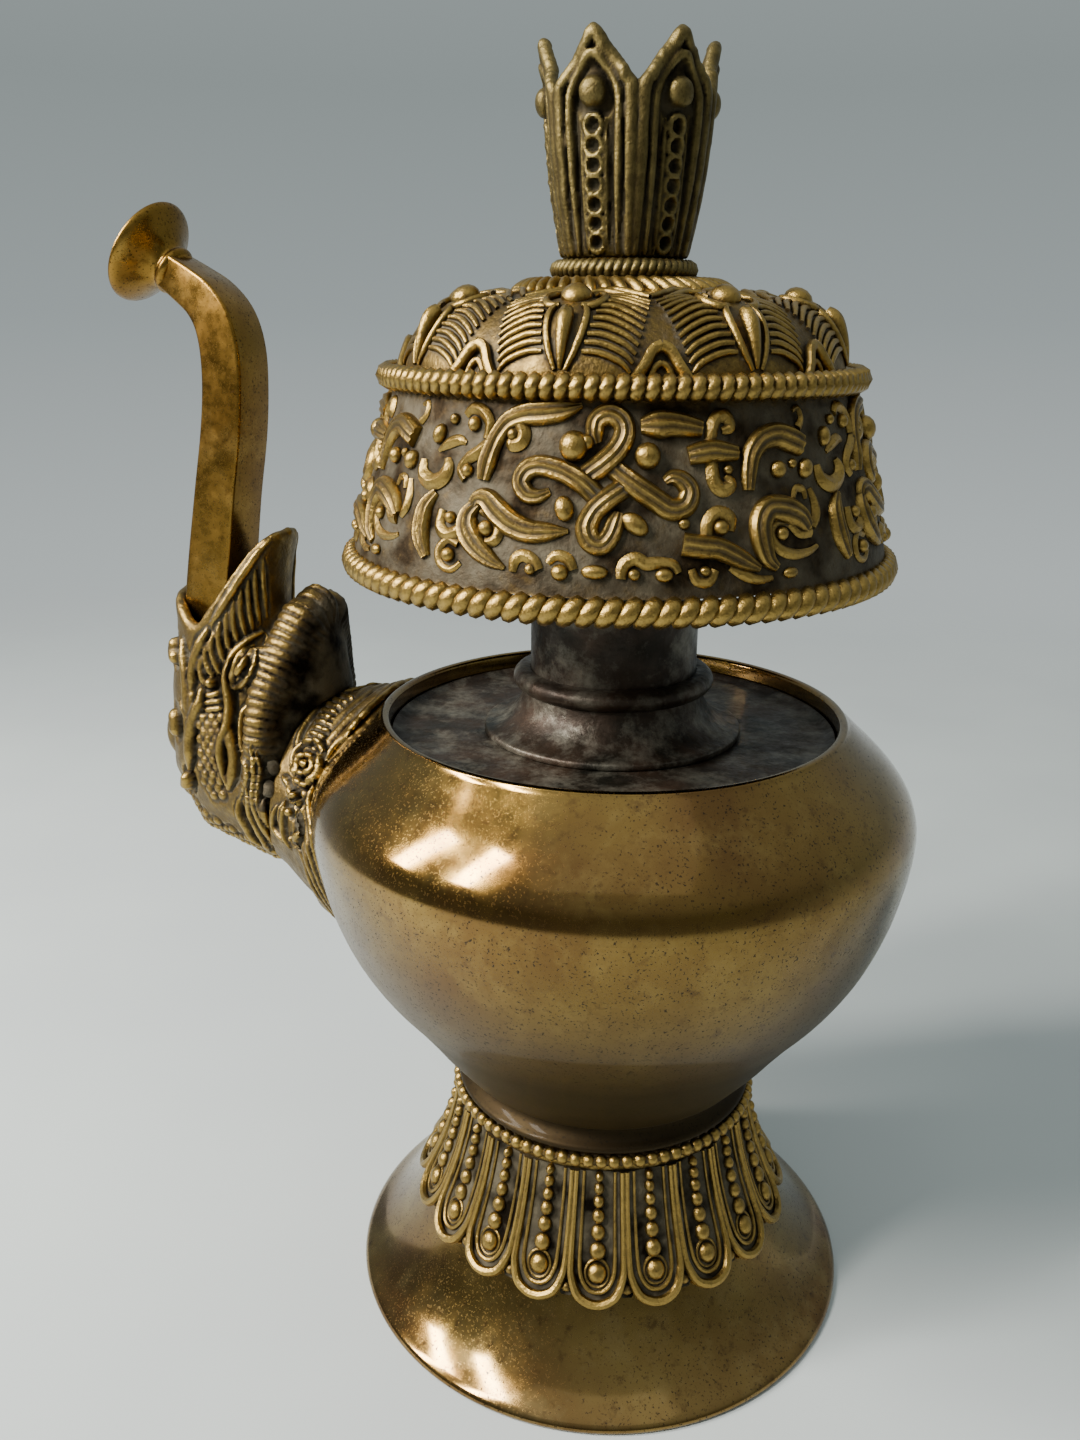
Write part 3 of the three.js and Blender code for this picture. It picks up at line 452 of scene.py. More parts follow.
def brownedFinish(name, tones, gloss=(0.1, 0.2), shadedUnderside=None, dullest=0.6, wax=0.35):
    # Brass sheet, raised and once polished: brown, lacquer-like tarnish in clouds about 30 mm wide, paler where it is
    # rubbed, with stains. The pits are half a millimetre wide, coarser than the real ones, so that they show.
    material, shader, position = newFinish(name)
    clouds = noiseRamp(material, position, 34, [(0.34, tones["brown"]), (0.66, tones["olive"])], 4)
    rubbed = noiseRamp(material, position, 9, [(0.5, 0), (0.72, 0.55)], 5, 0.65)
    colour = mixed(material, rubbed, clouds, linear(tones["pale"]))
    stains = noiseRamp(material, position, 3.2, [(0.56, 0), (0.7, 0.6)], 4, 0.7)
    colour = mixed(material, stains, colour, linear(tones["stain"]))
    pits = noiseRamp(material, position, 0.5, [(0.6, 0), (0.68, 0.85)], 2)
    colour = mixed(material, pits, colour, linear(tones["pit"]))
    if shadedUnderside:
        # painted shade: the side that is turned down is coloured darker between these two heights, and it is made
        # duller there
        height = addNode(material, "SeparateXYZ", {"Vector": position}).outputs["Z"]
        top, bottom, share = shadedUnderside
        inputs = {"Value": height, "From Min": top * millimetre, "From Max": bottom * millimetre, "To Max": share}
        below = addNode(material, "MapRange", inputs).outputs["Result"]
        colour = mixed(material, below, colour, linear(tones["shadedUnderside"]))
    sheen = noiseRamp(material, position, 6, [(0.35, gloss[0]), (0.7, gloss[1])], 4, 0.65)
    dull = [dullest] * 3 + [1]
    sheen = mixed(material, pits, sheen, dull)
    skin = {"Base Color": colour, "Metallic": 1.0, "Coat Roughness": 0.08}
    if shadedUnderside:
        sheen = mixed(material, below, sheen, dull)
        # it is dirtier, and the wax of handling is missing there
        for key, above, under in (("Metallic", 1.0, 0.9), ("Coat Weight", wax, 0.0)):
            change = addNode(material, "MapRange", {"Value": below, "To Min": above, "To Max": under})
            skin[key] = change.outputs["Result"]
    setInputs(material, shader, {**skin, "Roughness": sheen})
    waves = noiseRamp(material, position, 14, [(0.3, 0), (0.7, 1)], 1)
    height = mixed(material, 0.03, waves, pits, "SUBTRACT")
    dented(material, shader, height, 0.015)
    return material


def castFinish(name, tones, roughness, dust):
    # Cast and chased metal, never polished in its depths: rubbed bright where it stands proud, brown below that,
    # and dark in its crevices, which is partly the patina of the hollows and partly painted shade; grey dust lies
    # in patches in what is cut deep. The skin is grained at under a millimetre, as sand leaves it.
    material, shader, position = newFinish(name)
    openness = addNode(material, "Attribute", None, {"attribute_name": "openness"}).outputs["Fac"]
    uneven = noiseRamp(material, position, 2.4, [(0.25, 0), (0.75, 1)], 4, 0.6)
    offset = addNode(material, "MapRange", {"Value": uneven, "To Min": -0.11, "To Max": 0.11}).outputs["Result"]
    proud = addNode(material, "Math", {0: openness, 1: offset}, {"operation": "ADD"}).outputs["Value"]
    # painted shade and wear: the ramp runs from dark where a corner is enclosed to bright where it stands proud
    ramp = [(0.38, tones["deep"]), (0.56, tones["shade"]), (0.76, tones["brown"]), (0.98, tones["rubbed"])]
    colour = addNode(material, "ValToRGB", {"Fac": proud}, None, ramp).outputs["Color"]
    low = addNode(material, "ValToRGB", {"Fac": proud}, None, [(0.45, 1), (0.78, 0)]).outputs["Color"]
    patches = noiseRamp(material, position, 7, [(0.36, 0), (0.62, dust)], 3)
    dusty = mixed(material, 1.0, low, patches, "MULTIPLY")
    colour = mixed(material, dusty, colour, linear(tones["dust"]))
    specks = noiseRamp(material, position, 0.5, [(0.55, 0), (0.75, 0.5)], 2)
    colour = mixed(material, specks, colour, linear(tones["shade"]))
    metal = addNode(material, "MapRange", {"Value": dusty, "To Min": 1.0, "To Max": 0.15}).outputs["Result"]
    rough, smooth = roughness
    inputs = {"Value": proud, "From Min": 0.4, "From Max": 0.9, "To Min": rough, "To Max": smooth}
    gloss = addNode(material, "MapRange", inputs).outputs["Result"]
    setInputs(material, shader, {"Base Color": colour, "Metallic": metal, "Roughness": gloss})
    dented(material, shader, noiseRamp(material, position, 0.8, [(0.3, 0), (0.7, 1)], 4, 0.6), 0.07)
    return material


def patinaFinish(name, tones):
    # Brass with a near-black patina, seldom handled: brown shows through in clouds, and dust lies on it in streaks
    material, shader, position = newFinish(name)
    clouds = noiseRamp(material, position, 12, [(0.35, tones["black"]), (0.7, tones["brown"])], 4)
    dust = noiseRamp(material, position, 9, [(0.46, 0), (0.7, 0.6)], 6, 0.75)
    colour = mixed(material, dust, clouds, linear(tones["dust"]))
    gloss = noiseRamp(material, position, 5, [(0.3, 0.3), (0.7, 0.62)], 4, 0.7)
    setInputs(material, shader, {"Base Color": colour, "Metallic": 0.6, "Roughness": gloss})
    dented(material, shader, noiseRamp(material, position, 1.5, [(0.3, 0), (0.7, 1)], 3), 0.06)
    return material


footTones = {
    "olive": "#8b723c", "brown": "#6a4c25", "pale": "#978050",
    "stain": "#4d3518", "pit": "#1d160d", "shadedUnderside": "#211c12",
}
# its shaded-underside tone is painted shade on the foot's top under the belly, deepening from 42 to 50 mm up
brownedBrass = brownedFinish("browned_raised_brass", footTones, shadedUnderside=(42, 50, 0.9))
bellyTones = {
    "olive": "#8a6f33", "brown": "#6c4e23", "pale": "#9a7f44",
    "stain": "#563c1b", "pit": "#1d160d", "shadedUnderside": "#2b230f",
}
# its shaded-underside tone is painted shade on the lower bowl, deepening from 119 mm down to 74 mm
bellyBrass = brownedFinish("browned_brass_belly", bellyTones, shadedUnderside=(119, 74, 0.92))
tubeTones = {"olive": "#8f6f33", "brown": "#6f4f20", "pale": "#ad8b4b", "stain": "#4f3616", "pit": "#241a0e"}
goldenBrass = brownedFinish("golden_handled_brass", tubeTones, (0.2, 0.4))
castTones = {"deep": "#17130e", "shade": "#352b1e", "brown": "#65532f", "rubbed": "#9c8145", "dust": "#655d48"}
castBrass = castFinish("cast_chased_brass", castTones, (0.75, 0.34), 0.7)
crownTones = {"deep": "#1a160f", "shade": "#32291a", "brown": "#4f4529", "rubbed": "#76683f", "dust": "#585038"}
dullBronze = castFinish("dull_olive_bronze", crownTones, (0.8, 0.48), 0.5)
darkPatina = patinaFinish("near_black_patina", {"black": "#1a1912", "brown": "#45362a", "dust": "#8b8778"})
slotFinishes = {
    "polished_brass": brownedBrass,
    "cast_brass": castBrass,
    "dull_bronze": dullBronze,
    "dark_patina": darkPatina,
}
for row in frame["record"]["subparts"]:
    node = frame["nodes"][row["node"]]
    node.data.materials.clear()
    # the tenon shows as its solid, which has no recesses marked, and sliding keeps it bright
    finish = goldenBrass if row["node"] == "crown_tenon" else slotFinishes[row["material_slot"]]
    node.data.materials.append(finish)
print("stage: finishes made")


# Foot, belly and neck: raised sheet and turned rings
foot = {
    "rimRadius": 57.1,
    "rimBead": 0.9,  # round edge of the rim
    "restRadius": 54.4,
    "flare": [
        (57.1, 1.6), (52.2, 5.0), (47.3, 10.4), (43.0, 16.8), (39.3, 23.6), (36.2, 30.6), (33.7, 38.4), (31.6, 46.6),
    ],
    "groove": [(31.6, 46.6), (31.6, 49.9)],
    "lip": [
        (32.6, 50.0), (33.5, 50.3), (33.6, 50.8), (33.3, 51.4), (32.3, 52.2), (31.4, 53.3), (30.9, 54.6), (30.6, 56),
    ],
    "sheet": 2,
    "holeRadius": 20,
}


def makeFoot(values):
    flare = catmull(values["flare"], 5)
    lip = catmull(values["lip"], 3)
    rim = values["rimRadius"]
    bead = values["rimBead"]
    edge = [(rim - bead + bead * math.cos(a), bead + bead * math.sin(a)) for a in (-1.57, -1.0, -0.5, 0, 0.5)]
    inner = offsetOutline(flare, -values["sheet"])[2:]
    top = lip[-1][1]
    plate = top - values["sheet"]
    hole = values["holeRadius"]
    outline = [*edge, *flare[1:], *values["groove"], *lip, (hole, top), (hole, plate)]
    outline += [(lip[-1][0] - values["sheet"], plate), *inner[::-1], (values["restRadius"], 0), edge[0]]
    piece = spun("footPedestal", outline)
    place(piece, "vessel", "polished_brass", brownedBrass, "foot_pedestal")


makeFoot(foot)

belly = {
    "baseRadius": 33.2,
    "base": 56,
    "bowl": [  # fuller below the widest line than the solid, as the photograph shows it
        (34.3, 57), (35.9, 59), (37.9, 61.5), (40.6, 65), (43.7, 69.5), (47.7, 75), (53.0, 82), (57.6, 90),
        (61.0, 99), (62.9, 107), (63.75, 112.5), (63.9, 116),
    ],
    "shoulder": [(63.9, 116), (63.6, 118.7), (62.3, 122.2), (60, 125.6), (57, 128.9), (53, 132.6), (48.7, 136.8)],
    "rimLip": [(48.7, 136.8), (48.4, 137.25), (47.7, 137.4), (47.0, 137.2), (46.7, 136.6)],
    "sheet": 2,
    "plateSeat": 130.9,
    "mouthRadius": 46.7,
    "seatRadius": 44.3,
}


def makeBelly(values):
    sheet = values["sheet"]
    bowl = catmull(values["bowl"], 5)
    base, baseRadius = values["base"], values["baseRadius"]
    floor = base + sheet
    inside = [point for point in offsetOutline(bowl, -sheet) if point[1] > floor + 1]
    outline = [(0, base), (baseRadius, base), *bowl, *inside[::-1], (baseRadius - sheet, floor), (0, floor)]
    piece = spun("bellyBowl", outline)
    place(piece, "vessel", "polished_brass", bellyBrass, "belly_bowl")
    shoulder = catmull(values["shoulder"], 5)
    seat, seatRadius = values["plateSeat"], values["seatRadius"]
    inside = [point for point in offsetOutline(shoulder, -sheet) if point[1] < seat - sheet - 1]
    lip = catmull(values["rimLip"], 2)[1:]
    ledge = [(values["mouthRadius"], seat), (seatRadius, seat), (seatRadius, seat - sheet)]
    piece = spun("bellyShoulder", [*shoulder, *lip, *ledge, *inside[::-1], shoulder[0]])
    place(piece, "vessel", "polished_brass", bellyBrass, "belly_shoulder")


makeBelly(belly)

neck = {
    "plate": [
        (15.2, 131.2), (46.4, 131.2), (46.4, 133.7), (46.2, 133.9), (45.6, 133.8), (44.9, 133.3), (44.0, 133.0),
        (36, 132.9), (15.2, 133), (15.2, 131.2),
    ],
    "flange": [
        (26.6, 133), (26.9, 133.3), (26.9, 134.1), (26.5, 134.5), (25.4, 134.7), (23.9, 135.1), (22.4, 135.9),
        (21.2, 136.9), (20.2, 138.1), (19.4, 139.4), (18.9, 140.9), (18.6, 142.4),
    ],
    "ring": [(19.3, 142.4), (20.2, 143.0), (20.75, 143.9), (20.8, 144.5), (20.6, 145.3), (20.0, 146.0), (19.3, 146.4)],
    "tubeRadius": 17.2,
    "tubeBore": 15.2,
    "tubeFoot": 133,
    "tubeTop": 217.9,
    "sleeveGap": 0.1,  # solder between the tube and what is slipped over it
}


def makeNeck(values):
    bore, outer = values["tubeBore"], values["tubeRadius"]
    sleeve = outer + values["sleeveGap"]
    outlines = {"shoulderPlate": values["plate"]}
    for name in ("flange", "ring"):
        line = catmull(values[name], 2)
        first, last = (sleeve, line[0][1]), (sleeve, line[-1][1])
        outlines["neck" + name.capitalize()] = [first, *line, last, first]
    foot, top = values["tubeFoot"], values["tubeTop"]
    outlines["neckTube"] = [(bore, foot), (outer, foot), (outer, top), (bore, top), (bore, foot)]
    for name, outline in outlines.items():
        node = "".join("_" + letter.lower() if letter.isupper() else letter for letter in name)
        place(spun(name, outline), "vessel", "dark_patina", darkPatina, node)


makeNeck(neck)
print("stage: foot, belly and neck spun")


# Lotus collar: one lappet is worked flat, bent over the foot's flare and repeated round it
lotus = {
    "outline": [(41.9, 18.6), (40.0, 22.3), (37.6, 27.4), (35.2, 33.6), (33.3, 40), (31.9, 46.4)],
    "count": 20,
    "drawingRadius": 40,
    "bed": 0.7,  # the lappets' ground above the flare
    # lines of a lappet: across, up from its tip, half width. Rim and ridge are one half, the other is its mirror image.
    "tongue": [(0, 0.9, 2.0), (0, 2.0, 3.4), (0, 3.6, 4.5), (0, 5.8, 5.3), (0, 9, 5.6), (0, 18, 5.65), (0, 28.6, 5.7)],
    "rim": [
        (5.7, 28.6, 0.66), (5.75, 20, 0.68), (5.7, 9, 0.74), (5.3, 5.6, 0.82), (3.9, 2.3, 0.9), (1.9, 0.9, 0.95),
        (0, 0.5, 0.95),
    ],
    "ridge": [(3.9, 28.6, 0.42), (3.9, 18, 0.44), (3.8, 9, 0.48), (3.2, 5.6, 0.5), (1.8, 3.5, 0.5), (0, 2.9, 0.5)],
    "lineWidth": 1.05,
    "lineLift": 0.9,
    "hollow": [(1, 0.12), (0.6, 0.06), (0.25, 0.03)],  # half the section of the tongue: across, up
    "balls": [  # height up the lappet, radius, and whether a ring goes round it
        (6.8, 2.2, 1), (11.4, 2.0, 0), (15.3, 1.8, 0), (18.8, 1.65, 0), (22.0, 1.5, 0), (24.9, 1.4, 0), (27.5, 1.2, 0),
    ],
    "ballHeight": 1.5,
    "ring": (2.85, 0.86, 0.4),  # radius, how narrow it is across, half width
    "backTip": [(6.28, 1.5, 0.9), (6.28, 2.8, 1.7), (6.28, 4.6, 2.2), (6.28, 12, 2.2)],  # tip of the row behind
    "backNub": (6.28, 3.3, 1.15),
    "hoopFoot": 23,  # height from which a closed sheet lies below the lappets
}
beadRing = {"radius": 33.5, "middle": 48.3, "bead": 1.42, "count": 78, "hoop": 0.9}


def ringAround(y, radius, narrow, halfWidth):
    turns = [math.pi * i / 6 for i in range(13)]
    line = [(radius * narrow * math.sin(a), y + radius * math.cos(a), halfWidth, halfWidth / 2) for a in turns]
    return ribbon(line, None, 2)


def makeLotus(values):
    curved = catmull(values["outline"], 6)
    at = surfaceOver(curved, values["drawingRadius"])
    upper = values["hollow"]
    upper = [(-x, y) for x, y in upper] + upper[::-1]
    hollow = sectionCurve("hollow", [(-1, -0.1), *upper, (1, -0.1)][::-1])
    parts = [ribbon(values["tongue"], hollow, 4)]
    wide, high = values["lineWidth"], values["lineLift"]
    for half in (values["rim"], values["ridge"]):
        parts.append(ribbon([(x, y, w * wide, w * high) for x, y, w in bothSides(half)], None, 4))
    for y, radius, ringed in values["balls"]:
        parts.append(ball(0, y, radius, 0.35, (0.94, 1.0, values["ballHeight"] / radius), 0, 14, 10))
        if ringed:
            parts.append(ringAround(y, *values["ring"]))
    tip = [(x, y, w, -0.5) for x, y, w in values["backTip"]]
    parts.append(ribbon(tip, hollow, 4))
    x, y, radius = values["backNub"]
    parts.append(ball(x, y, radius, -0.2))
    lappet = joined("lappet", parts)
    lappet.data.transform(Matrix.Translation((0, 0, values["bed"])))
    lappets = ringOf("lappets", wrapOn(lappet, at), values["count"])
    upper = [point for point in curved if point[1] > values["hoopFoot"]]
    sheet = [*offsetOutline(upper, values["bed"]), *offsetOutline(upper, -0.15)[::-1]]
    hoop = spun("hoop", [*sheet, sheet[0]])
    piece = joined("footLotusCollar", [hoop, lappets])
    bpy.data.objects.remove(hollow)
    markRecesses(piece, 3.2)
    place(piece, "vessel", "cast_brass", castBrass, "foot_lotus_collar")


def makeBeadRing(values):
    bead = ball(0, -values["radius"], values["bead"], values["middle"], (1, 1, 1.05), 0, 12, 8)
    beads = ringOf("beads", bead, values["count"])
    outline = circleOutline(values["radius"], values["middle"], values["hoop"], 8)
    piece = joined("footBeadRing", [spun("hoop", outline, 96), beads])
    markRecesses(piece, 1.5)
    place(piece, "vessel", "cast_brass", castBrass, "foot_bead_ring")


makeLotus(lotus)
makeBeadRing(beadRing)
print("stage: lotus collar made")


# Canopy: rope edges, the band with its scrollwork, and the beaded dome
ropes = {
    "lower": {"radius": 51.9, "middle": 170.4, "thickness": 4.2, "strands": 106, "slant": 0.72, "fat": 1.1},
    "upper": {"radius": 44.41, "middle": 204.9, "thickness": 4, "strands": 118, "slant": 0.16, "fat": 1.16},
}
strandShape = {
    "coreInset": 0.3,  # the core lies this far inside the rope's round
    "strandInset": 0.7,  # and the middle of a strand this far
    "wrap": 1.9,  # how far a strand goes round the core to each side, in radians
    "sweep": 0.75,
    "taper": 0.55,  # what a strand loses of its girth towards its ends
}


def ropeRing(name, values, node, finish, slotName, body="vessel"):
    # fat strands laid round a core, each a few dozen faces
    core = values["thickness"] / 2 - strandShape["coreInset"]
    ring = spun(name, circleOutline(values["radius"], values["middle"], core, 12), 96)
    spread = 2 * math.pi * values["radius"] / values["strands"]
    lean = values["slant"] * values["thickness"]
    reach = values["thickness"] / 2 - strandShape["strandInset"]
    path = []
    for i in range(7):
        t = -1 + i / 3
        turn = t * strandShape["wrap"]
        along = lean * math.sin(turn * 0.5) * strandShape["sweep"]
        girth = spread / 2 * values["fat"] * (1 - strandShape["taper"] * abs(t) ** 4)
        angle = along / values["radius"]
        radius = values["radius"] + reach * math.cos(turn)
        height = values["middle"] + reach * math.sin(turn)
        path.append((radius * math.sin(angle), -radius * math.cos(angle), girth, height))
    strand = ribbon(path, None, 1)
    strands = ringOf(name + "Strands", strand, values["strands"])
    piece = tidyMesh(joined(name, [ring, strands]), 0.0005)
    markRecesses(piece, 1.8, 8)
    place(piece, body, slotName, finish, node, smoothAngle=80)
    return piece


band = {
    "outline": [(53.0, 172.5), (52.4, 175.6), (51.6, 179), (50.5, 182.8), (48.6, 189), (46.5, 196), (44.3, 202.9)],
    "sink": 0.7,  # the ground lies this far under the solid's surface, and the relief stands out of it
    "sheet": 1.6,
    "groundShadeAndDirtShare": 0.72,  # painted shade and dirt: the ground counts as less open than it is, so it is coloured darker
    "ribbonShare": 1.35,  # widths of the drawing's ribbons are multiplied by this
    "shelf": [(43.6, 202.9), (38.2, 202.9), (38.2, 200.9), (42.4, 200.9)],
    "drawingRadius": 48.6,  # radius at which the drawing below is true to size
    "knotTurn": 16.1,  # degrees from the front
    "repeats": 4,
    "groundSteps": 480,  # fine, because the painted shade and the dust beside the scrolls are kept on the corners
    "ballShare": 1.08,
    "ballLift": 0.25,
}
# The drawing: millimetres along the band from the knot, up it from the lower rope, half width, and lift
knotRibbons = [
    [(-4.3, 18.9, 1.3, -0.5), (-3.1, 20.0, 1.39, -0.3), (-0.8, 21.6, 1.39, 0.35), (1.3, 23.7, 1.39, 0.1),
     (2.5, 26.1, 1.42), (2.0, 28.3, 1.42), (-0.1, 29.4, 1.36), (-2.2, 28.4, 1.3), (-2.6, 26.3, 1.17),
     (-2.2, 24.8, 0.77, -0.2)],
    [(-0.2, 21.9, 1.3, -0.5), (1.4, 20.4, 1.3, -0.3), (4.5, 18.0, 1.39, 0.35), (7.5, 16.0, 1.39, 0.1),
     (10.1, 14.4, 1.39), (12.4, 14.9, 1.39), (13.3, 17.1, 1.3), (12.2, 18.9, 1.17), (10.5, 19.5, 0.93),
     (9.3, 18.9, 0.56, -0.2)],
    [(4.4, 19.2, 1.3, -0.5), (2.8, 18.0, 1.3, -0.3), (0.1, 16.0, 1.3, 0.35), (-2.0, 14.0, 1.3, 0.1),
     (-3.1, 11.4, 1.38), (-2.3, 9.2, 1.38), (-0.7, 8.7, 1.32), (0.6, 10.1, 1.21), (1.4, 12.4, 1.09),
     (1.8, 13.8, 0.72, -0.2)],
    [(-0.6, 15.4, 1.3, -0.5), (-1.9, 16.5, 1.32, -0.3), (-4.2, 18.4, 1.32, 0.35), (-7.2, 20.0, 1.32, 0.1),
     (-10.9, 20.9, 1.32), (-13.6, 20.3, 1.3), (-14.7, 18.2, 1.21), (-13.4, 16.3, 1.15), (-11.5, 16.0, 0.92),
     (-9.6, 16.9, 0.52, -0.2)],
]
wideScrolls = [
    [(-5.1, 30.8, 0.3), (-8.1, 29.9, 1.21), (-11.8, 29.4, 1.5), (-15.4, 29.0, 1.44), (-18.3, 27.8, 1.3),
     (-20.0, 25.7, 1.21), (-21.0, 23.3, 1.21), (-21.6, 20.7, 1.3), (-21.9, 18.0, 0.86)],
    [(-23.5, 12.6, 0.58), (-22.5, 14.7, 1.04), (-20.5, 14.9, 1.38), (-18.2, 13.1, 1.58), (-15.5, 11.3, 1.61),
     (-12.4, 10.3, 1.44), (-9.3, 10.4, 1.15), (-6.0, 10.7, 0.3)],
    [(-15.9, 4.0, 0.3), (-18.5, 5.2, 1.01), (-21.1, 7.0, 1.44), (-23.2, 9.4, 1.58), (-23.7, 12.0, 1.3),
     (-22.4, 14.2, 0.8, -0.2)],
    [(-31.7, 15.2, 0.58), (-33.4, 12.7, 1.15), (-33.6, 9.7, 1.32), (-33.0, 7.0, 1.27), (-31.4, 4.1, 0.72)],
    [(5.2, 27.6, 0.93), (7.9, 27.8, 1.7), (10.5, 27.9, 1.54), (13.1, 27.6, 1.36), (15.9, 27.1, 1.05)],
    [(13.3, 22.8, 1.11, 0.2), (15.2, 23.2, 1.3, 0.5), (17.5, 23.5, 1.3, 0.5), (19.5, 23.3, 1.23, 0.4),
     (22.1, 23.1, 0.93)],
    [(11.9, 8.8, 1.42), (14.7, 8.3, 1.42, 0.3), (17.4, 7.9, 1.36, 0.3), (19.9, 6.8, 1.3), (22.4, 5.4, 1.05),
     (24.6, 4.3, 0.49)],
    [(23.8, 17.0, 0.8), (24.1, 19.8, 1.11), (25.0, 22.8, 1.3), (27.2, 25.0, 1.42), (30.3, 25.7, 1.54),
     (33.3, 24.9, 1.67), (36.0, 23.8, 1.48)],
    [(35.1, 10.0, 0.93), (33.3, 12.1, 1.54), (30.3, 13.5, 1.7), (27.1, 13.8, 1.6), (25.4, 11.7, 1.54),
     (25.3, 8.7, 1.42), (26.1, 5.8, 1.11), (27.8, 4.2, 0.62)],
]
fineScrolls = [
    [(-19.9, 27.1, 0.72), (-17.2, 27.8, 0.92), (-15.4, 26.4, 0.98), (-15.4, 24.7, 0.98), (-17.0, 24.1, 0.9),
     (-17.8, 24.9, 0.6)],
    [(-21.8, 24.1, 0.81), (-23.7, 22.5, 0.86), (-25.7, 21.2, 0.81), (-26.9, 19.4, 0.69), (-25.6, 17.8, 0.58)],
    [(-22.3, 24.7, 0.69), (-22.3, 27.3, 0.75), (-24.2, 29.2, 0.81), (-26.5, 29.6, 0.75), (-27.9, 28.5, 0.58)],
    [(-36.6, 20.3, 0.63), (-36.0, 17.9, 1.01), (-33.3, 16.7, 1.09), (-30.7, 17.6, 1.09), (-29.9, 19.4, 0.98),
     (-30.5, 20.9, 0.52)],
    [(-33.1, 22.2, 0.3), (-30.8, 23.5, 0.75), (-28.4, 24.2, 0.69), (-26.7, 23.8, 0.3)],
    [(-21.5, 12.8, 0.4), (-19.1, 12.1, 0.63), (-17.7, 10.2, 0.75), (-18.2, 8.4, 0.75), (-19.9, 8.0, 0.58),
     (-21.6, 8.9, 0.4)],
    [(-29.4, 12.4, 0.63), (-29.3, 9.6, 0.81), (-27.4, 8.4, 0.86), (-25.3, 9.4, 0.81), (-24.9, 11.5, 0.52)],
    [(-24.9, 7.0, 0.46), (-27.2, 7.6, 0.52), (-28.8, 5.7, 0.58), (-28.2, 3.5, 0.52), (-25.8, 2.7, 0.46),
     (-24.0, 4.1, 0.35)],
    [(-14.5, 3.6, 0.46), (-14.2, 5.6, 0.69), (-12.8, 6.4, 0.75), (-11.2, 5.6, 0.75), (-10.3, 4.2, 0.63)],
    [(-8.9, 5.4, 0.4), (-7.6, 6.7, 0.66), (-5.8, 6.2, 0.7), (-4.9, 4.5, 0.58)],
    [(19.6, 26.7, 0.43), (21.3, 27.3, 0.74), (20.7, 29.0, 0.86), (18.9, 28.9, 0.86), (17.7, 26.9, 0.86),
     (17.4, 24.2, 0.86, -0.3), (17.4, 21.2, 0.86), (17.6, 18.7, 0.93), (18.9, 17.3, 0.93), (20.6, 18.1, 0.8),
     (19.8, 19.6, 0.43)],
    [(19.8, 10.6, 0.56), (19.9, 12.7, 0.86), (17.9, 13.7, 0.86), (16.2, 12.2, 0.86), (16.0, 9.5, 0.86, -0.2)],
    [(36.1, 26.6, 0.62), (37.5, 28.1, 0.5), (37.0, 30.0, 0.43), (35.5, 29.6, 0.3)],
    [(35.4, 9.5, 0.8), (33.0, 9.4, 0.62), (31.1, 11.2, 0.56), (28.9, 11.6, 0.56), (27.3, 9.9, 0.62),
     (28.2, 7.5, 0.68), (30.9, 6.1, 0.68), (34.4, 6.1, 0.49), (36.8, 6.9, 0.3)],
    [(32.8, 15.2, 0.35), (33.6, 16.7, 0.49), (35.3, 16.5, 0.49), (35.6, 14.9, 0.37)],
    [(2.4, 3.3, 0.56), (2.8, 5.5, 0.74), (4.5, 6.6, 0.8), (6.1, 5.8, 0.8), (8.0, 5.9, 0.74), (10.3, 5.6, 0.62),
     (11.2, 4.3, 0.4)],
    [(13.2, 4.8, 0.43), (14.0, 2.9, 0.62), (15.9, 2.7, 0.62), (17.0, 4.5, 0.49)],
    [(19.4, 4.8, 0.37), (21.7, 3.5, 0.68), (24.2, 2.5, 0.56), (26.8, 2.6, 0.35)],
    [(36.9, 16.6, 0.43), (37.6, 14.2, 0.68), (37.5, 11.9, 0.74), (36.4, 10.0, 0.43)],
]
# Balls and drops: along, up, radius, stretch along, turn in degrees
scrollBalls = [
    (-6.0, 24.2, 2.4, 1, 0), (-3.9, 24.9, 1.3, 1, 0), (6.4, 22.8, 2.1, 1, 0), (4.4, 12.0, 1.5, 1.55, -38),
     (-6.9, 14.2, 1.5, 1.35, 105),
    (-17.2, 25.7, 1.0, 1, 0), (-25.3, 19.3, 1.05, 1, 0), (-25.4, 27.0, 1.2, 1, 0), (-33.4, 24.9, 1.25, 1.35, 70),
     (-19.9, 10.2, 1.3, 1, 0),
    (-26.5, 5.1, 1.15, 1, 0), (-27.2, 11.3, 1.0, 1, 0), (-11.6, 4.2, 0.85, 1, 0), (-6.9, 4.0, 1.3, 1, 0),
     (-1.6, 4.3, 1.15, 1.7, 0),
    (18.2, 11.2, 1.25, 1, 0), (30.0, 20.1, 1.4, 1, 0), (29.2, 9.6, 1.1, 1, 0), (36.2, 19.9, 1.4, 1.2, 60),
     (4.4, 4.0, 0.9, 1, 0),
    (8.9, 3.9, 1.1, 1.2, 0), (15.3, 4.4, 0.8, 1, 0), (30.2, 3.1, 0.9, 1.5, 0), (12.2, 12.0, 0.9, 1, 0),
     (-30.3, 27.6, 0.9, 1, 0),
    (20.2, 20.5, 0.8, 1, 0), (33.4, 20.9, 0.8, 1, 0),
]


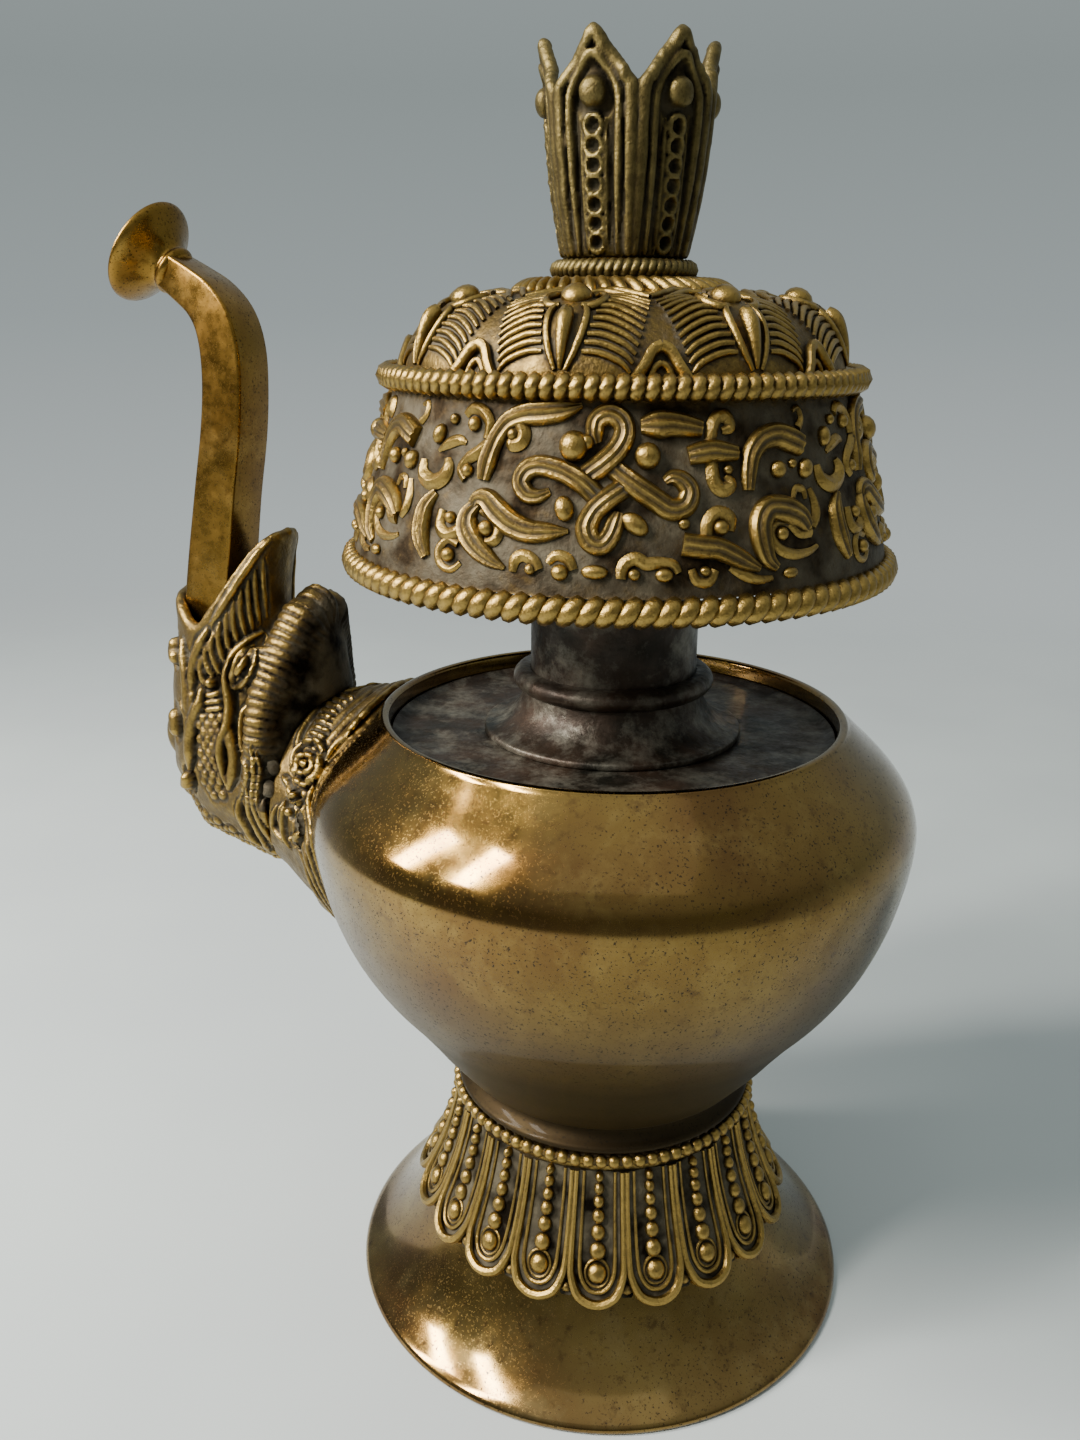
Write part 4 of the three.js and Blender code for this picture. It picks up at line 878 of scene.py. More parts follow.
def makeBand(values):
    outer = offsetOutline(catmull(values["outline"], 8), -values["sink"])
    outer[0] = (outer[0][0], values["outline"][0][1])
    outer[-1] = (outer[-1][0], values["outline"][-1][1])
    inner = offsetOutline(outer, -values["sheet"])
    inner[0] = (inner[0][0], outer[0][1])
    inner = [point for point in inner if point[1] < values["shelf"][-1][1] - 0.5]
    ground = spun("canopyBand", [*outer, *values["shelf"], *inner[::-1], outer[0]], values["groundSteps"])

    wide = sectionCurve("wideSection", groovedSection(3))
    fine = sectionCurve("fineSection", groovedSection(1, groove=0.2))
    parts = []
    for lines, section in ((knotRibbons + wideScrolls, wide), (fineScrolls, fine)):
        for points in lines:
            parts.append(ribbon([(x, y, w * values["ribbonShare"], *lift) for x, y, w, *lift in points], section))
    for x, y, radius, stretch, turn in scrollBalls:
        size, lift = radius * values["ballShare"], values["ballLift"]
        parts.append(ball(x, y, size, lift, (stretch, 1, 0.95), math.radians(turn)))
    drawing = joined("canopyScrolls", parts)
    for section in (wide, fine):
        bpy.data.objects.remove(section)
    repeats = values["repeats"]
    at = surfaceOver(outer, values["drawingRadius"], math.radians(values["knotTurn"]))
    wrapOn(drawing, at)
    tidyMesh(drawing, 0.0005)
    markRecesses(drawing, 2, 8, (ground,))
    scrolls = [copied(drawing, 2 * math.pi * i / repeats) for i in range(repeats)]
    bpy.data.objects.remove(drawing)
    # painted shade: the ground counts as enclosed where the scrolls stand round it, and the share below darkens all of
    # it further
    markRecesses(ground, 2.4, 8, scrolls)
    for mark in ground.data.attributes["openness"].data:
        mark.value *= values["groundShadeAndDirtShare"]
    place(ground, "vessel", "cast_brass", castBrass, "canopy_band")
    for i, part in enumerate(scrolls):
        part.name = f"canopyScrolls{i + 1}"
        place(part, "vessel", "cast_brass", castBrass)


ropeRing("canopyLowerRope", ropes["lower"], "canopy_lower_rope", castBrass, "cast_brass")
ropeRing("canopyUpperRope", ropes["upper"], "canopy_upper_rope", castBrass, "cast_brass")
makeBand(band)
print("stage: canopy ropes and band made")


# Dome: mounds with an oval and a drop on each, combed locks between them, and flame arches over hollows
dome = {
    "outline": [
        (41.7, 203.0), (41.75, 206.6), (40.6, 209.4), (38.6, 212.4), (36.3, 214.9), (33, 217.2), (26, 218.9),
        (19.2, 219.9), (14.6, 220.0),
    ],
    "holeRadius": 15,
    "sheet": 1.8,
    "drawingRadius": 41.8,
    "repeats": 8,
    "turn": 4.5,  # degrees from the front to the first mound
    "mound": {"middle": 13, "rise": 1.7, "across": 8.5, "along": 8},
    "hollow": {"middle": 3.2, "rise": -0.9, "across": 5, "along": 4},
    "oval": (0, 18.6, 3.4, 2.5, 2.1),  # place, half length across and along, height
    "drop": [(0, 4.4, 0.35), (0, 6.4, 0.75), (0, 9.2, 1.2), (0, 11.8, 1.5), (0, 13.6, 1.1)],
    "rib": [(0.9, 4.2, 0.4), (2.2, 7.0, 0.6), (3.3, 10.6, 0.65), (3.5, 13.6, 0.65), (2.6, 15.6, 0.5)],
    "curl": [
        (2.2, 15.2, 0.5), (4.4, 15.4, 0.7), (6.1, 17.2, 0.75), (6.0, 19.8, 0.75), (4.4, 20.9, 0.65), (3.6, 19.4, 0.45),
    ],
    # fine locks beside the drop: along, up, half width and lift of the outermost, and how far the innermost is from it
    "locks": 11,
    "lock": [
        (6.6, 21.5, 0.4, 0.15, -3.2, -14.5), (9.2, 22.0, 0.6, 0.22, -2.9, -15.1), (12.3, 21.0, 0.6, 0.22, -2.6, -15.4),
        (15.9, 19.3, 0.4, 0.15, -4.6, -15.3),
    ],
    "arch": [(7.2, 0.5, 0.7), (10.8, 1.8, 0.9), (13.3, 4.6, 1.0), (14.9, 7.4, 1.0), (16.42, 8.2, 1.05)],
    "innerArch": [(12.4, 0.5, 0.5), (14.2, 2.4, 0.6), (15.3, 4.9, 0.65), (16.42, 5.7, 0.65)],
    "topLocks": [
        [(1.5, 24.3, 0.6), (5.5, 25.0, 0.75), (9.5, 23.0, 0.7), (13.5, 20.4, 0.6)],
        [(2.5, 26.8, 0.6), (7.5, 27.3, 0.75), (12.5, 24.6, 0.7), (16.2, 22.4, 0.5)],
    ],
    "archLift": 0.3,
}
collar = {
    "radius": 18.7,
    "middle": 220.5,
    "count": 46,
    "half": (1.1, 3.4, 1.5),  # half a strand's sizes
    "slant": 0.42,
    "fall": 0.45,
    "core": [(15.0, 220.0), (15.0, 221.9), (15.6, 222.2), (17.6, 221.4), (21.3, 219.4), (21.3, 218.9), (15.0, 220.0)],
}


def swell(form, x, y):
    return form["rise"] * math.exp(-((x / form["across"]) ** 2) - ((y - form["middle"]) / form["along"]) ** 2)


def domeLift(values, x, y):
    half = math.pi * values["drawingRadius"] / values["repeats"]
    x = (x + half) % (2 * half) - half
    return swell(values["mound"], x, y) + swell(values["hollow"], half - abs(x), y)


def makeDome(values):
    curved = catmull(values["outline"], 8)
    turn = math.radians(values["turn"])
    at = surfaceOver(curved, values["drawingRadius"], turn)
    sheet, foot = values["sheet"], values["outline"][0][1]
    topRadius, top = values["outline"][-1]
    inner = [(radius, max(height, foot)) for radius, height in offsetOutline(values["outline"], -sheet)[-2::-1]]
    ground = spun("ground", [*curved, (topRadius, top - sheet), *inner, curved[0]], 240)
    lengths = lengthsAlong(curved)
    for corner in ground.data.vertices:
        radius = math.hypot(corner.co.x, corner.co.y)
        i = min(range(len(curved)), key=lambda k: math.dist(curved[k], (radius, corner.co.z)))
        if math.dist(curved[i], (radius, corner.co.z)) > 0.05 or radius < values["holeRadius"]:
            continue  # the inner side stays smooth
        x = (math.atan2(corner.co.x, -corner.co.y) - turn) * values["drawingRadius"]
        corner.co = at(x, lengths[i], domeLift(values, x, lengths[i]))
    lines = []
    for side in (1, -1):
        for line in (values["rib"], values["curl"], values["arch"], values["innerArch"], *values["topLocks"]):
            extra = values["archLift"] if line is values["arch"] else 0
            lines.append([(side * x, y, w, w * 0.5 + extra) for x, y, w in line])
        for k in range(values["locks"]):
            t = k / (values["locks"] - 1)
            lines.append([(side * (x + dx * t), y + dy * t, w, lift) for x, y, w, lift, dx, dy in values["lock"]])
    lines.append([(x, y, w, w * 0.55) for x, y, w in values["drop"]])
    parts = []
    for line in lines:
        strip = ribbon(line, None, 5)
        for corner in strip.data.vertices:
            corner.co.z += domeLift(values, corner.co.x, corner.co.y)
        parts.append(strip)
    x, y, half, along, height = values["oval"]
    parts.append(ball(x, y, 1, domeLift(values, x, y) + 0.2, (half, along, height)))
    boss = wrapOn(joined("boss", parts), at)
    piece = joined("canopyDome", [ground, ringOf("bosses", boss, values["repeats"])])
    markRecesses(piece, 3)
    place(piece, "vessel", "cast_brass", castBrass, "canopy_dome", smoothAngle=50)


def makeCollar(values):
    strand = ball(0, 0, 1, 0, values["half"], values["slant"], 12, 8)
    toRing = Matrix.Translation((0, -values["radius"], values["middle"]))
    strand.data.transform(toRing @ Matrix.Rotation(values["fall"], 4, "X"))
    strands = ringOf("strands", strand, values["count"])
    piece = joined("domeCollarRope", [spun("core", values["core"], 96), strands])
    markRecesses(piece, 2)
    place(piece, "vessel", "cast_brass", castBrass, "dome_collar_rope")


makeDome(dome)
makeCollar(collar)
print("stage: dome made")


# Crown: six panels with a pointed border, a pointed arch, a ball, and a strip of round hollows
crown = {
    "foot": 225.6,
    "wall": [(12.4, 0), (14.9, 15.3), (16.6, 36.4)],
    "leaves": 6,
    "turn": -6,  # degrees from the front to a leaf's middle
    "drawingRadius": 15,
    "roundShare": 0.45,
    "grain": 0.8,
    "passes": 4,
    # lines of a leaf, each with half width and height, then points across it and up it. Border and arch are one half.
    "border": (1.35, 0.8, [(7.1, 0.6), (7.1, 12), (7.0, 25.8), (5.7, 28.8), (3, 32.2), (0, 35.2)]),
    "arch": (0.85, 0.75, [(4.7, 0.6), (4.75, 14), (4.8, 24), (4.1, 27.2), (2.4, 29.9), (0, 32.0)]),
    "strip": (0.55, 0.5, [(2.35, 0.6), (2.4, 12), (2.4, 22)]),
    "ball": (2.5, 1.7, [(0, 26.2)]),
    "hollows": (2.4, 3.1, 7),  # height of the lowest, pitch, count
    "hollow": (1.15, -0.9),
    "hollowRim": (0.6, 0.5, 1.6),
}
crownRope = {"radius": 12.05, "middle": 223.75, "thickness": 3.7, "strands": 54, "slant": 0.3, "fat": 1.12}


def crownPoint(values, turn, x, y):
    radius = radiusAt(catmull(values["wall"], 10), y)
    pitch = 2 * math.pi / values["leaves"]
    angle = x / values["drawingRadius"]
    flat = math.cos(pitch / 2) / math.cos(angle)
    radius *= values["roundShare"] + (1 - values["roundShare"]) * flat
    return radius * math.sin(turn + angle), -radius * math.cos(turn + angle), values["foot"] + y


def makeCrown(values):
    piece = castCopy("crownCup", "crown_cup", values["grain"], values["passes"])
    drawing = [(width, height, bothSides(half)) for width, height, half in (values["border"], values["arch"])]
    width, height, strip = values["strip"]
    drawing += [values["ball"], (width, height, [(-x, y) for x, y in strip]), (width, height, strip)]
    rimWidth, rimHeight, rimRadius = values["hollowRim"]
    lowest, pitch, count = values["hollows"]
    for i in range(count):
        spot = lowest + i * pitch
        rim = circleOutline(0, spot, rimRadius, 8)
        drawing += [(*values["hollow"], [(0, spot)]), (rimWidth, rimHeight, rim[:-1] + rim[:1])]
    lines = []
    for leaf in range(values["leaves"]):
        turn = math.radians(values["turn"]) + 2 * math.pi * leaf / values["leaves"]
        lines += [(w, lift, [crownPoint(values, turn, *p) for p in points]) for w, lift, points in drawing]
    raiseLines(piece, lines, mirrored=False)
    markRecesses(piece, 3)
    place(piece, "crown_stopper", "dull_bronze", dullBronze, "crown_cup", smoothAngle=50)


makeCrown(crown)
ropeRing("crownRopeRing", crownRope, "crown_rope_ring", dullBronze, "dull_bronze", "crown_stopper")
print("stage: crown made")


# Cast head and cuff: the solids' form, rounded, with the chased ornament raised on it.
# Each line is half width, height, and points on the near side, mirrored on the far side.
headLines = [
    (1.23, 1.20, [(-92.6, -12.7, 147.7), (-94, -12.9, 145.3), (-95.2, -13.2, 142.9), (-96.1, -13.5, 140.5),
     (-96.7, -13.7, 138.1), (-96.9, -14.1, 135.3), (-97.3, -14.4, 132.9)]),
    (0.88, 0.6, [(-79, -5.5, 168), (-80.9, -7.7, 165.3), (-83.2, -9.3, 161.6), (-85.9, -10.7, 157.4),
     (-88.7, -11.8, 153), (-91.5, -12.5, 149)]),
    (0.75, 0.6, [(-80.5, -6.6, 163.6), (-81.2, -6.1, 158.9), (-81.4, -5.6, 154.2), (-81.5, -5.2, 149.9)]),
    (0.75, 0.6, [(-81.9, -7.9, 161.2), (-82.4, -7.6, 157.3), (-82.5, -7.3, 153.1), (-82.4, -6.7, 148.7)]),
    (0.75, 0.6, [(-83.3, -8.8, 159), (-83.7, -8.7, 155.3), (-83.7, -8.5, 151.4), (-83.5, -8.1, 147.6)]),
    (0.75, 0.6, [(-84.7, -9.7, 157), (-85.2, -9.9, 153.1), (-85.1, -9.7, 149.6), (-84.6, -9.3, 146.3)]),
    (0.75, 0.6, [(-86.2, -10.6, 154.6), (-86.7, -10.8, 151.1), (-86.7, -10.7, 147.9), (-85.9, -10.7, 144.9)]),
    (0.75, 0.6, [(-87.8, -11.3, 152.1), (-88.2, -11.5, 148.8), (-88.1, -11.7, 145.6), (-87.2, -11.9, 142.5)]),
    (0.75, 0.6, [(-89.4, -12, 149.7), (-90, -12.3, 146.5), (-89.5, -12.7, 143.4), (-88.3, -12.8, 140.2)]),
    (0.75, 0.6, [(-91, -12.4, 147.4), (-91.7, -12.9, 144.1), (-91.1, -13.3, 141.2), (-89.6, -13.6, 138.2)]),
    (0.75, 0.6, [(-92.5, -12.9, 145), (-93.2, -13.4, 142.2), (-92.6, -13.8, 139.5), (-91, -14.1, 137)]),
    (0.75, 0.6, [(-93.7, -13.5, 141.9), (-94.5, -13.8, 139.6), (-94.2, -14.2, 137.3), (-93, -14.6, 135)]),
    (1.20, 1.70, [(-82.2, -6.5, 146.8), (-83.6, -8.4, 146), (-85, -10.1, 144.6), (-86.4, -11.5, 142.7),
     (-87.2, -12.5, 140.3), (-87.8, -13.2, 137.6), (-87.6, -13.7, 135.3), (-86.9, -14.3, 132.3),
     (-86.6, -15.2, 129), (-86.9, -16, 126.1), (-87.8, -16.5, 123.7), (-88.2, -17, 120.9),
     (-87.9, -17.5, 118.1), (-87, -18, 115), (-85.7, -18.5, 112.4)]),
    (1.44, 1.33, [(-86.7, -15.6, 127.4), (-86, -16.4, 123.9), (-85, -16.9, 121.3), (-84.6, -17.4, 118.4),
     (-85, -18, 115.3), (-85.7, -18.5, 112.4)]),
    (0.75, 0.92, [(-83.2, -8.6, 144.2), (-81.7, -14.1, 144.6), (-82.5, -15.8, 142.9), (-83.4, -16.4, 140.1),
     (-86.2, -13.3, 136.1), (-85.2, -13.3, 135.3), (-81, -16, 137.7), (-79, -16.2, 140.1),
     (-78.1, -15.7, 142.8), (-78.5, -14.4, 145), (-79.1, -14.2, 145.2)]),
    (0.75, 1.15, [(-79.9, -16, 143.7), (-80.8, -16.8, 141.7), (-82.4, -16.7, 139.4)]),
    (0.75, 0.8, [(-82.2, -6.4, 147.1), (-81, -6, 145.4), (-80.7, -7.7, 142.9), (-80.1, -9.3, 140.5),
     (-80.7, -11.2, 135.9), (-80.3, -11.6, 134.5), (-81.2, -12.8, 132.2), (-83.4, -13.9, 130),
     (-83.8, -14.8, 127.5), (-83.4, -15.7, 124.5), (-82.6, -16.5, 121.5), (-78.5, -21.3, 120.4),
     (-78.5, -21.3, 117), (-80.4, -20.2, 113.4), (-82.4, -19.3, 110.3)]),
    (1.12, 1.33, [(-82.7, -19.2, 110.2), (-82.8, -19.1, 107.1), (-81.7, -18.7, 104.2), (-81, -17.4, 100.7),
     (-79, -16.8, 98.6)]),
    (0.75, 0.8, [(-77, -21.3, 125.1), (-76.5, -21.4, 121.6), (-76.7, -21.2, 117.7), (-77.5, -20.9, 113.7),
     (-77.7, -20.7, 110.1), (-76.9, -20.3, 106.7), (-75.6, -19.4, 103), (-76.2, -15.9, 98.4)]),
    (0.75, 0.8, [(-75.7, -21.2, 123.6), (-75.3, -20.6, 119.6), (-75.9, -20.6, 115.7), (-76.4, -20.8, 111.8),
     (-75.7, -20.7, 108.5), (-75.1, -19.2, 104.5)]),
    (0.75, 0.69, [(-78.7, -21.2, 116), (-79, -20.8, 112.1), (-79.6, -20.1, 108.1), (-78.3, -19.7, 104.2),
     (-77.8, -17.8, 100), (-78.6, -13.9, 95.3)]),
    (1.27, 1.33, [(-100.5, -11.4, 144.3), (-100, -12.3, 140.9), (-99, -13.3, 137.3), (-98.6, -14.1, 133.2),
     (-98.3, -14.6, 129.5), (-97.7, -15.2, 126.3)]),
    (1.42, 1.49, [(-94.1, -14.8, 133.9), (-94.4, -15.2, 131.1), (-95.7, -15.3, 128.3), (-97, -15.5, 125.3),
     (-97.7, -15.8, 121.6), (-97.8, -16.1, 118), (-98.7, -15.4, 114.3)]),
    (1.05, 0.97, [(-101.3, -13.3, 129.7), (-99.1, -14.5, 127.9), (-98, -15.2, 125.3), (-98.1, -15.6, 122)]),
    (0.98, 0.90, [(-96.6, -14.4, 133.5), (-97, -14.8, 130.7), (-97.7, -15, 127.7)]),
    (0.75, 0.6, [(-95.2, -12.9, 145.2), (-95.8, -13.1, 142.8)]),
    (0.75, 0.69, [(-92.7, -15, 132.7), (-91.1, -14.8, 133.1), (-89.4, -14.5, 133.7)]),
    (0.75, 0.69, [(-92.9, -15.3, 131.1), (-91.1, -15.1, 131.5), (-88.8, -14.8, 132)]),
    (0.75, 0.69, [(-92.9, -15.6, 129.5), (-90.8, -15.4, 129.9), (-88.2, -15.1, 130.4)]),
    (1.24, 1.72, [(-91.5, -14.3, 135.8)]),
    (1.49, 2.3, [(-73.3, -18.9, 120), (-72.7, -18.4, 118.8)]),
    (1.44, 2.3, [(-73.3, -20.2, 115.7), (-73.6, -20, 113.4)]),
    (0.75, 0.92, [(-74.8, -20.8, 112.1), (-75.1, -20.7, 109.1), (-74.9, -20.1, 105.9)]),
    (1.61, 2.3, [(-99.3, -15, 112.6), (-100.5, -13.8, 109.4)]),
    (1.84, 1.84, [(-104.5, -8.6, 143.1), (-105.1, -8.6, 140.6), (-103.5, -10.5, 138.9)]),
    (2.03, 1.84, [(-104.3, -11.7, 126.4), (-104, -12.2, 124.1), (-103.9, -12.5, 121.6)]),
]
scaleSize = (1.15, 0.6)
scalePlaces = [
    (-93.4, -15.9, 127.6), (-90.9, -15.8, 127.9), (-88.5, -15.7, 128.2), (-94.6, -15.9, 125.7),
    (-91.9, -16.1, 126.2), (-89.8, -16.1, 126.4), (-93, -16.4, 124.4), (-90.8, -16.4, 124.7),
    (-88.9, -16.3, 124.9), (-94.3, -16.5, 122.5), (-91.8, -16.7, 123), (-89.6, -16.7, 123.2),
    (-92.7, -17, 121.2), (-90.4, -17, 121.5), (-94.1, -16.8, 119.2), (-91.5, -17.2, 119.7),
    (-89.3, -17.2, 120.1), (-93, -17, 117.7), (-90.4, -17.4, 118.2), (-94.4, -16.8, 115.7),
    (-91.8, -17.3, 116.3), (-89.3, -17.7, 116.8), (-93.3, -17.1, 114.2), (-90.7, -17.6, 114.8),
    (-88.1, -17.9, 115.3), (-93.8, -17, 112.4), (-91.2, -17.5, 113), (-88.5, -18, 113.6), (-92, -17.3, 111),
    (-89.3, -17.9, 111.6), (-90.9, -17.6, 109.5), (-88.2, -18.1, 110.2),
]
cuffLines = [
    (0.75, 0.8, [(-65.7, -14.6, 127.3), (-62.9, -15.7, 127.5), (-60.1, -17, 127.6)]),
    (0.75, 0.8, [(-65.7, -13.1, 128.2), (-62.9, -14.3, 128.5), (-60, -15.7, 128.7)]),
    (0.75, 0.8, [(-65.9, -11.5, 129.1), (-63.1, -12.7, 129.4), (-60.1, -14.2, 129.5)]),
    (0.75, 0.8, [(-66.2, -9.8, 130), (-63.3, -11.1, 130.3), (-60.3, -12.6, 130.4)]),
    (0.75, 0.8, [(-66.6, -7.7, 130.6), (-63.6, -9.2, 130.9), (-60.4, -11.1, 131.2)]),
    (0.75, 0.8, [(-67.1, -5.1, 131.3), (-63.8, -7.1, 131.6), (-60.5, -9.1, 131.9)]),
    (0.75, 0.8, [(-67.4, -2.3, 131.6), (-63.7, -5.1, 132.2), (-60.2, -7.3, 132.6)]),
    (0.75, 0.8, [(-67.5, 0.4, 131.8), (-63.3, -2.9, 132.6), (-59.5, -5.9, 133.2)]),
    (0.75, 0.69, [(-66, -19.6, 122.1), (-67.4, -17.4, 124), (-68.3, -15.1, 125.9), (-68.4, -12.7, 127.7),
     (-68.2, -9.8, 129.5), (-68.3, -6.2, 130.8), (-68.3, -2.3, 131.5), (-67.9, 1.6, 131.6), (-66, 3.8, 131.7)]),
    (0.75, 1.15, [(-65.4, -21, 120.3), (-67.1, -19.4, 121.6), (-67.4, -17.9, 123.4), (-66.1, -17, 125),
     (-64.1, -16.7, 126.1), (-61.7, -17.3, 126.6), (-59.6, -19.1, 125.9), (-58.9, -20.8, 124.3),
     (-59, -22.1, 122.3), (-59.7, -23.3, 120.4), (-61.3, -23.6, 118.9), (-63.8, -22.5, 119),
     (-65.4, -21, 120.3)]),
    (0.75, 1.03, [(-65.1, -20.6, 121.2), (-65.7, -19.5, 122.3), (-64.6, -19.1, 123.5), (-62.4, -19.7, 124),
     (-61, -20.9, 123.3), (-60.9, -22, 121.8), (-62.4, -22.1, 120.7), (-64.4, -21.3, 120.6),
     (-65.1, -20.6, 121.2)]),
    (0.75, 1.15, [(-67.1, -23, 114.2), (-67.6, -23.4, 111.4), (-68, -23.5, 108.5), (-67.6, -23.7, 105.7),
     (-66.1, -24.2, 103.3)]),
    (0.84, 1.49, [(-62, -25.5, 113.1), (-61.5, -26.1, 110.6), (-61.5, -26.5, 107.9), (-62.5, -26, 105.2)]),
    (0.75, 0.92, [(-70.5, -22.1, 111.8), (-71.6, -22, 109.2), (-71.9, -21.7, 106.6), (-70.4, -22.3, 105.1),
     (-67.9, -23.4, 104.1)]),
    (0.75, 0.92, [(-68.4, -22.7, 112.9), (-69, -22.9, 110.5), (-68.8, -23.2, 108.2)]),
    (0.75, 0.92, [(-69.6, -20.4, 118.5), (-67.6, -21.5, 117.6), (-65.9, -22.7, 116.6), (-65.4, -23.6, 114.7)]),
    (1.06, 1.84, [(-62.9, -20.8, 122.3)]),
    (0.89, 1.61, [(-63.9, -23.8, 115.9)]),
    (0.84, 1.61, [(-62.3, -24.9, 115)]),
    (1.01, 1.38, [(-64.8, -24.5, 112.3)]),
    (0.75, 1.03, [(-66.5, -22.5, 116.4)]),
    (0.75, 1.03, [(-64.8, -25, 106.2)]),
]
head = {
    "grain": 0.95,  # faces of the rounded mesh, halved once
    "passes": 9,
    "mane": [  # the mane's middle and radius on the near side, from the nape down to the jaw
        (-71.5, -3, 152, 5.6), (-73.7, -8.2, 145.4, 5.2), (-74.9, -11.4, 140, 4.9), (-76.3, -14.8, 134.3, 4.5),
        (-76.7, -17.2, 128.2, 4.1), (-77.3, -18.2, 121.5, 3.6), (-78.3, -18.4, 114, 3), (-78.9, -18.2, 108, 2.4),
    ],
    "ribPitch": 1.95,
    "ribHeight": 0.55,
    "ribReach": 1.4,  # how far past the mane's radius the ribs go, and over how much they fade
    "ribFade": 0.8,
    "ribEnds": 6,
    "napeShadowShare": 0.5,  # the painted shadow behind the mane: how open its corners count as
    "napeFoot": 109,
    "napeFade": (1.5, 3),
    # rows of scales along below the jaw, in the spout's plane
    "throat": [(-106, 101), (-102, 95.7), (-98, 94.3), (-90, 92.3), (-77, 89.2)],
    "throatPitch": 2.5,
    "throatScales": 7,
    "throatRise": 0.03,  # the underside rises to the sides by this much for each square millimetre
}
cuff = {
    "grain": 0.85,
    "passes": 6,
    "ridges": 4,
    "firstRidge": 0.5,  # its distance from the belly
    "ridgePitch": 1.55,
    "ridgeHeight": 0.85,
    "blend": 9,  # distance from the belly over which the cuff is moved out with it
    "heights": (60, 140),  # between which it meets the belly
}


def ribMane(piece, values):
    # round ribs across the rolled mane, by the distance along its middle line
    path = catmull([(x, -y, z, r) for x, y, z, r in values["mane"][::-1]] + values["mane"], 12)
    finder = KDTree(len(path))
    for i, point in enumerate(path):
        finder.insert(point[:3], i)
    finder.balance()
    lengths = lengthsAlong([point[:3] for point in path])
    moves = []
    for corner in piece.data.vertices:
        _, i, distance = finder.find(corner.co)
        after = path[min(i + 1, len(path) - 1)]
        before = path[max(i - 1, 0)]
        along = (Vector(after[:3]) - Vector(before[:3])).normalized()
        spot = lengths[i] + (corner.co - Vector(path[i][:3])).dot(along)
        part = abs(2 * ((spot / values["ribPitch"]) % 1) - 1)
        near = max(0, min(1, (path[i][3] + values["ribReach"] - distance) / values["ribFade"]))
        ends = min(1, max(0, min(spot, lengths[-1] - spot)) / values["ribEnds"])
        moves.append(corner.normal * near * ends * values["ribHeight"] * ((1 - part**3) - 0.55))
    for corner, move in zip(piece.data.vertices, moves):
        corner.co += move
    piece.data.update()


def throatScales(values):
    pitch = values["throatPitch"]
    scales = []
    for i, (x, _, z) in enumerate(evenly([(x, 0, z) for x, z in values["throat"]], pitch)):
        for k in range(values["throatScales"]):
            y = (k + 0.5 * (i % 2)) * pitch
            scales.append((*scaleSize, [(x, y, z + values["throatRise"] * y**2)]))
    return scales


def paintNapeShadow(piece, values):
    # painted shadow: corners behind the mane, above the nape's foot, count as less open, so the nape is coloured darker
    start, over = values["napeFade"]
    path = evenly([point[:3] for point in values["mane"]], 1)
    for i, corner in enumerate(piece.data.vertices):
        near = min(path, key=lambda spot: abs(spot.z - corner.co.z))
        if near.z > values["napeFoot"]:
            behind = max(0, min(1, (corner.co.x - near.x - start) / over))
            piece.data.attributes["openness"].data[i].value *= 1 - (1 - values["napeShadowShare"]) * behind


def makeHead(values):
    piece = castCopy("dragonHead", "dragon_head", values["grain"], values["passes"])
    ribMane(piece, values)
    scales = [(*scaleSize, [spot]) for spot in scalePlaces]
    raiseLines(piece, headLines + scales + throatScales(values))
    markRecesses(piece, 4)
    paintNapeShadow(piece, values)
    place(piece, "vessel", "cast_brass", castBrass, "dragon_head", smoothAngle=60)


def bellyGrowth(tree, foot, top):
    # how much farther out than the solid the belly is made, millimetre by millimetre up from its foot
    outline = catmull(belly["bowl"], 5)
    growth = []
    for height in range(foot, top):
        hit = tree.ray_cast(Vector((0, -100, height)), Vector((0, 1, 0)))[0]
        growth.append(max(0, radiusAt(outline, height) + hit.y) if height < outline[-1][1] else 0)
    return growth


def makeCuff(values):
    # ridges run round the cuff's root by their distance from the belly, and its edge follows the fuller belly
    piece = castCopy("spoutCuff", "spout_cuff", values["grain"], values["passes"])
    solids = [frame["nodes"][name] for name in ("belly_bowl", "belly_shoulder")]
    tree = meshTree(*solids, moved=lambda spot: spot / millimetre - vesselAxis)
    foot, top = values["heights"]
    growth = bellyGrowth(tree, foot, top)
    moves = []
    for corner in piece.data.vertices:
        distance = tree.find_nearest(corner.co)[3]
        part = (distance - values["firstRidge"]) / values["ridgePitch"]
        lift = math.sin(math.pi * (part % 1)) ** 0.6 - 0.4 if 0 < part < values["ridges"] else 0
        outwards = Vector((corner.co.x, corner.co.y, 0)).normalized()
        share = max(0, 1 - distance / values["blend"])
        grown = growth[int(corner.co.z) - foot] * share
        moves.append(corner.normal * lift * values["ridgeHeight"] + outwards * grown)
    for corner, move in zip(piece.data.vertices, moves):
        corner.co += move
    raiseLines(piece, cuffLines)
    markRecesses(piece, 3.5)
    place(piece, "vessel", "cast_brass", castBrass, "spout_cuff", smoothAngle=60)


makeHead(head)
makeCuff(cuff)
print("stage: head and cuff made")


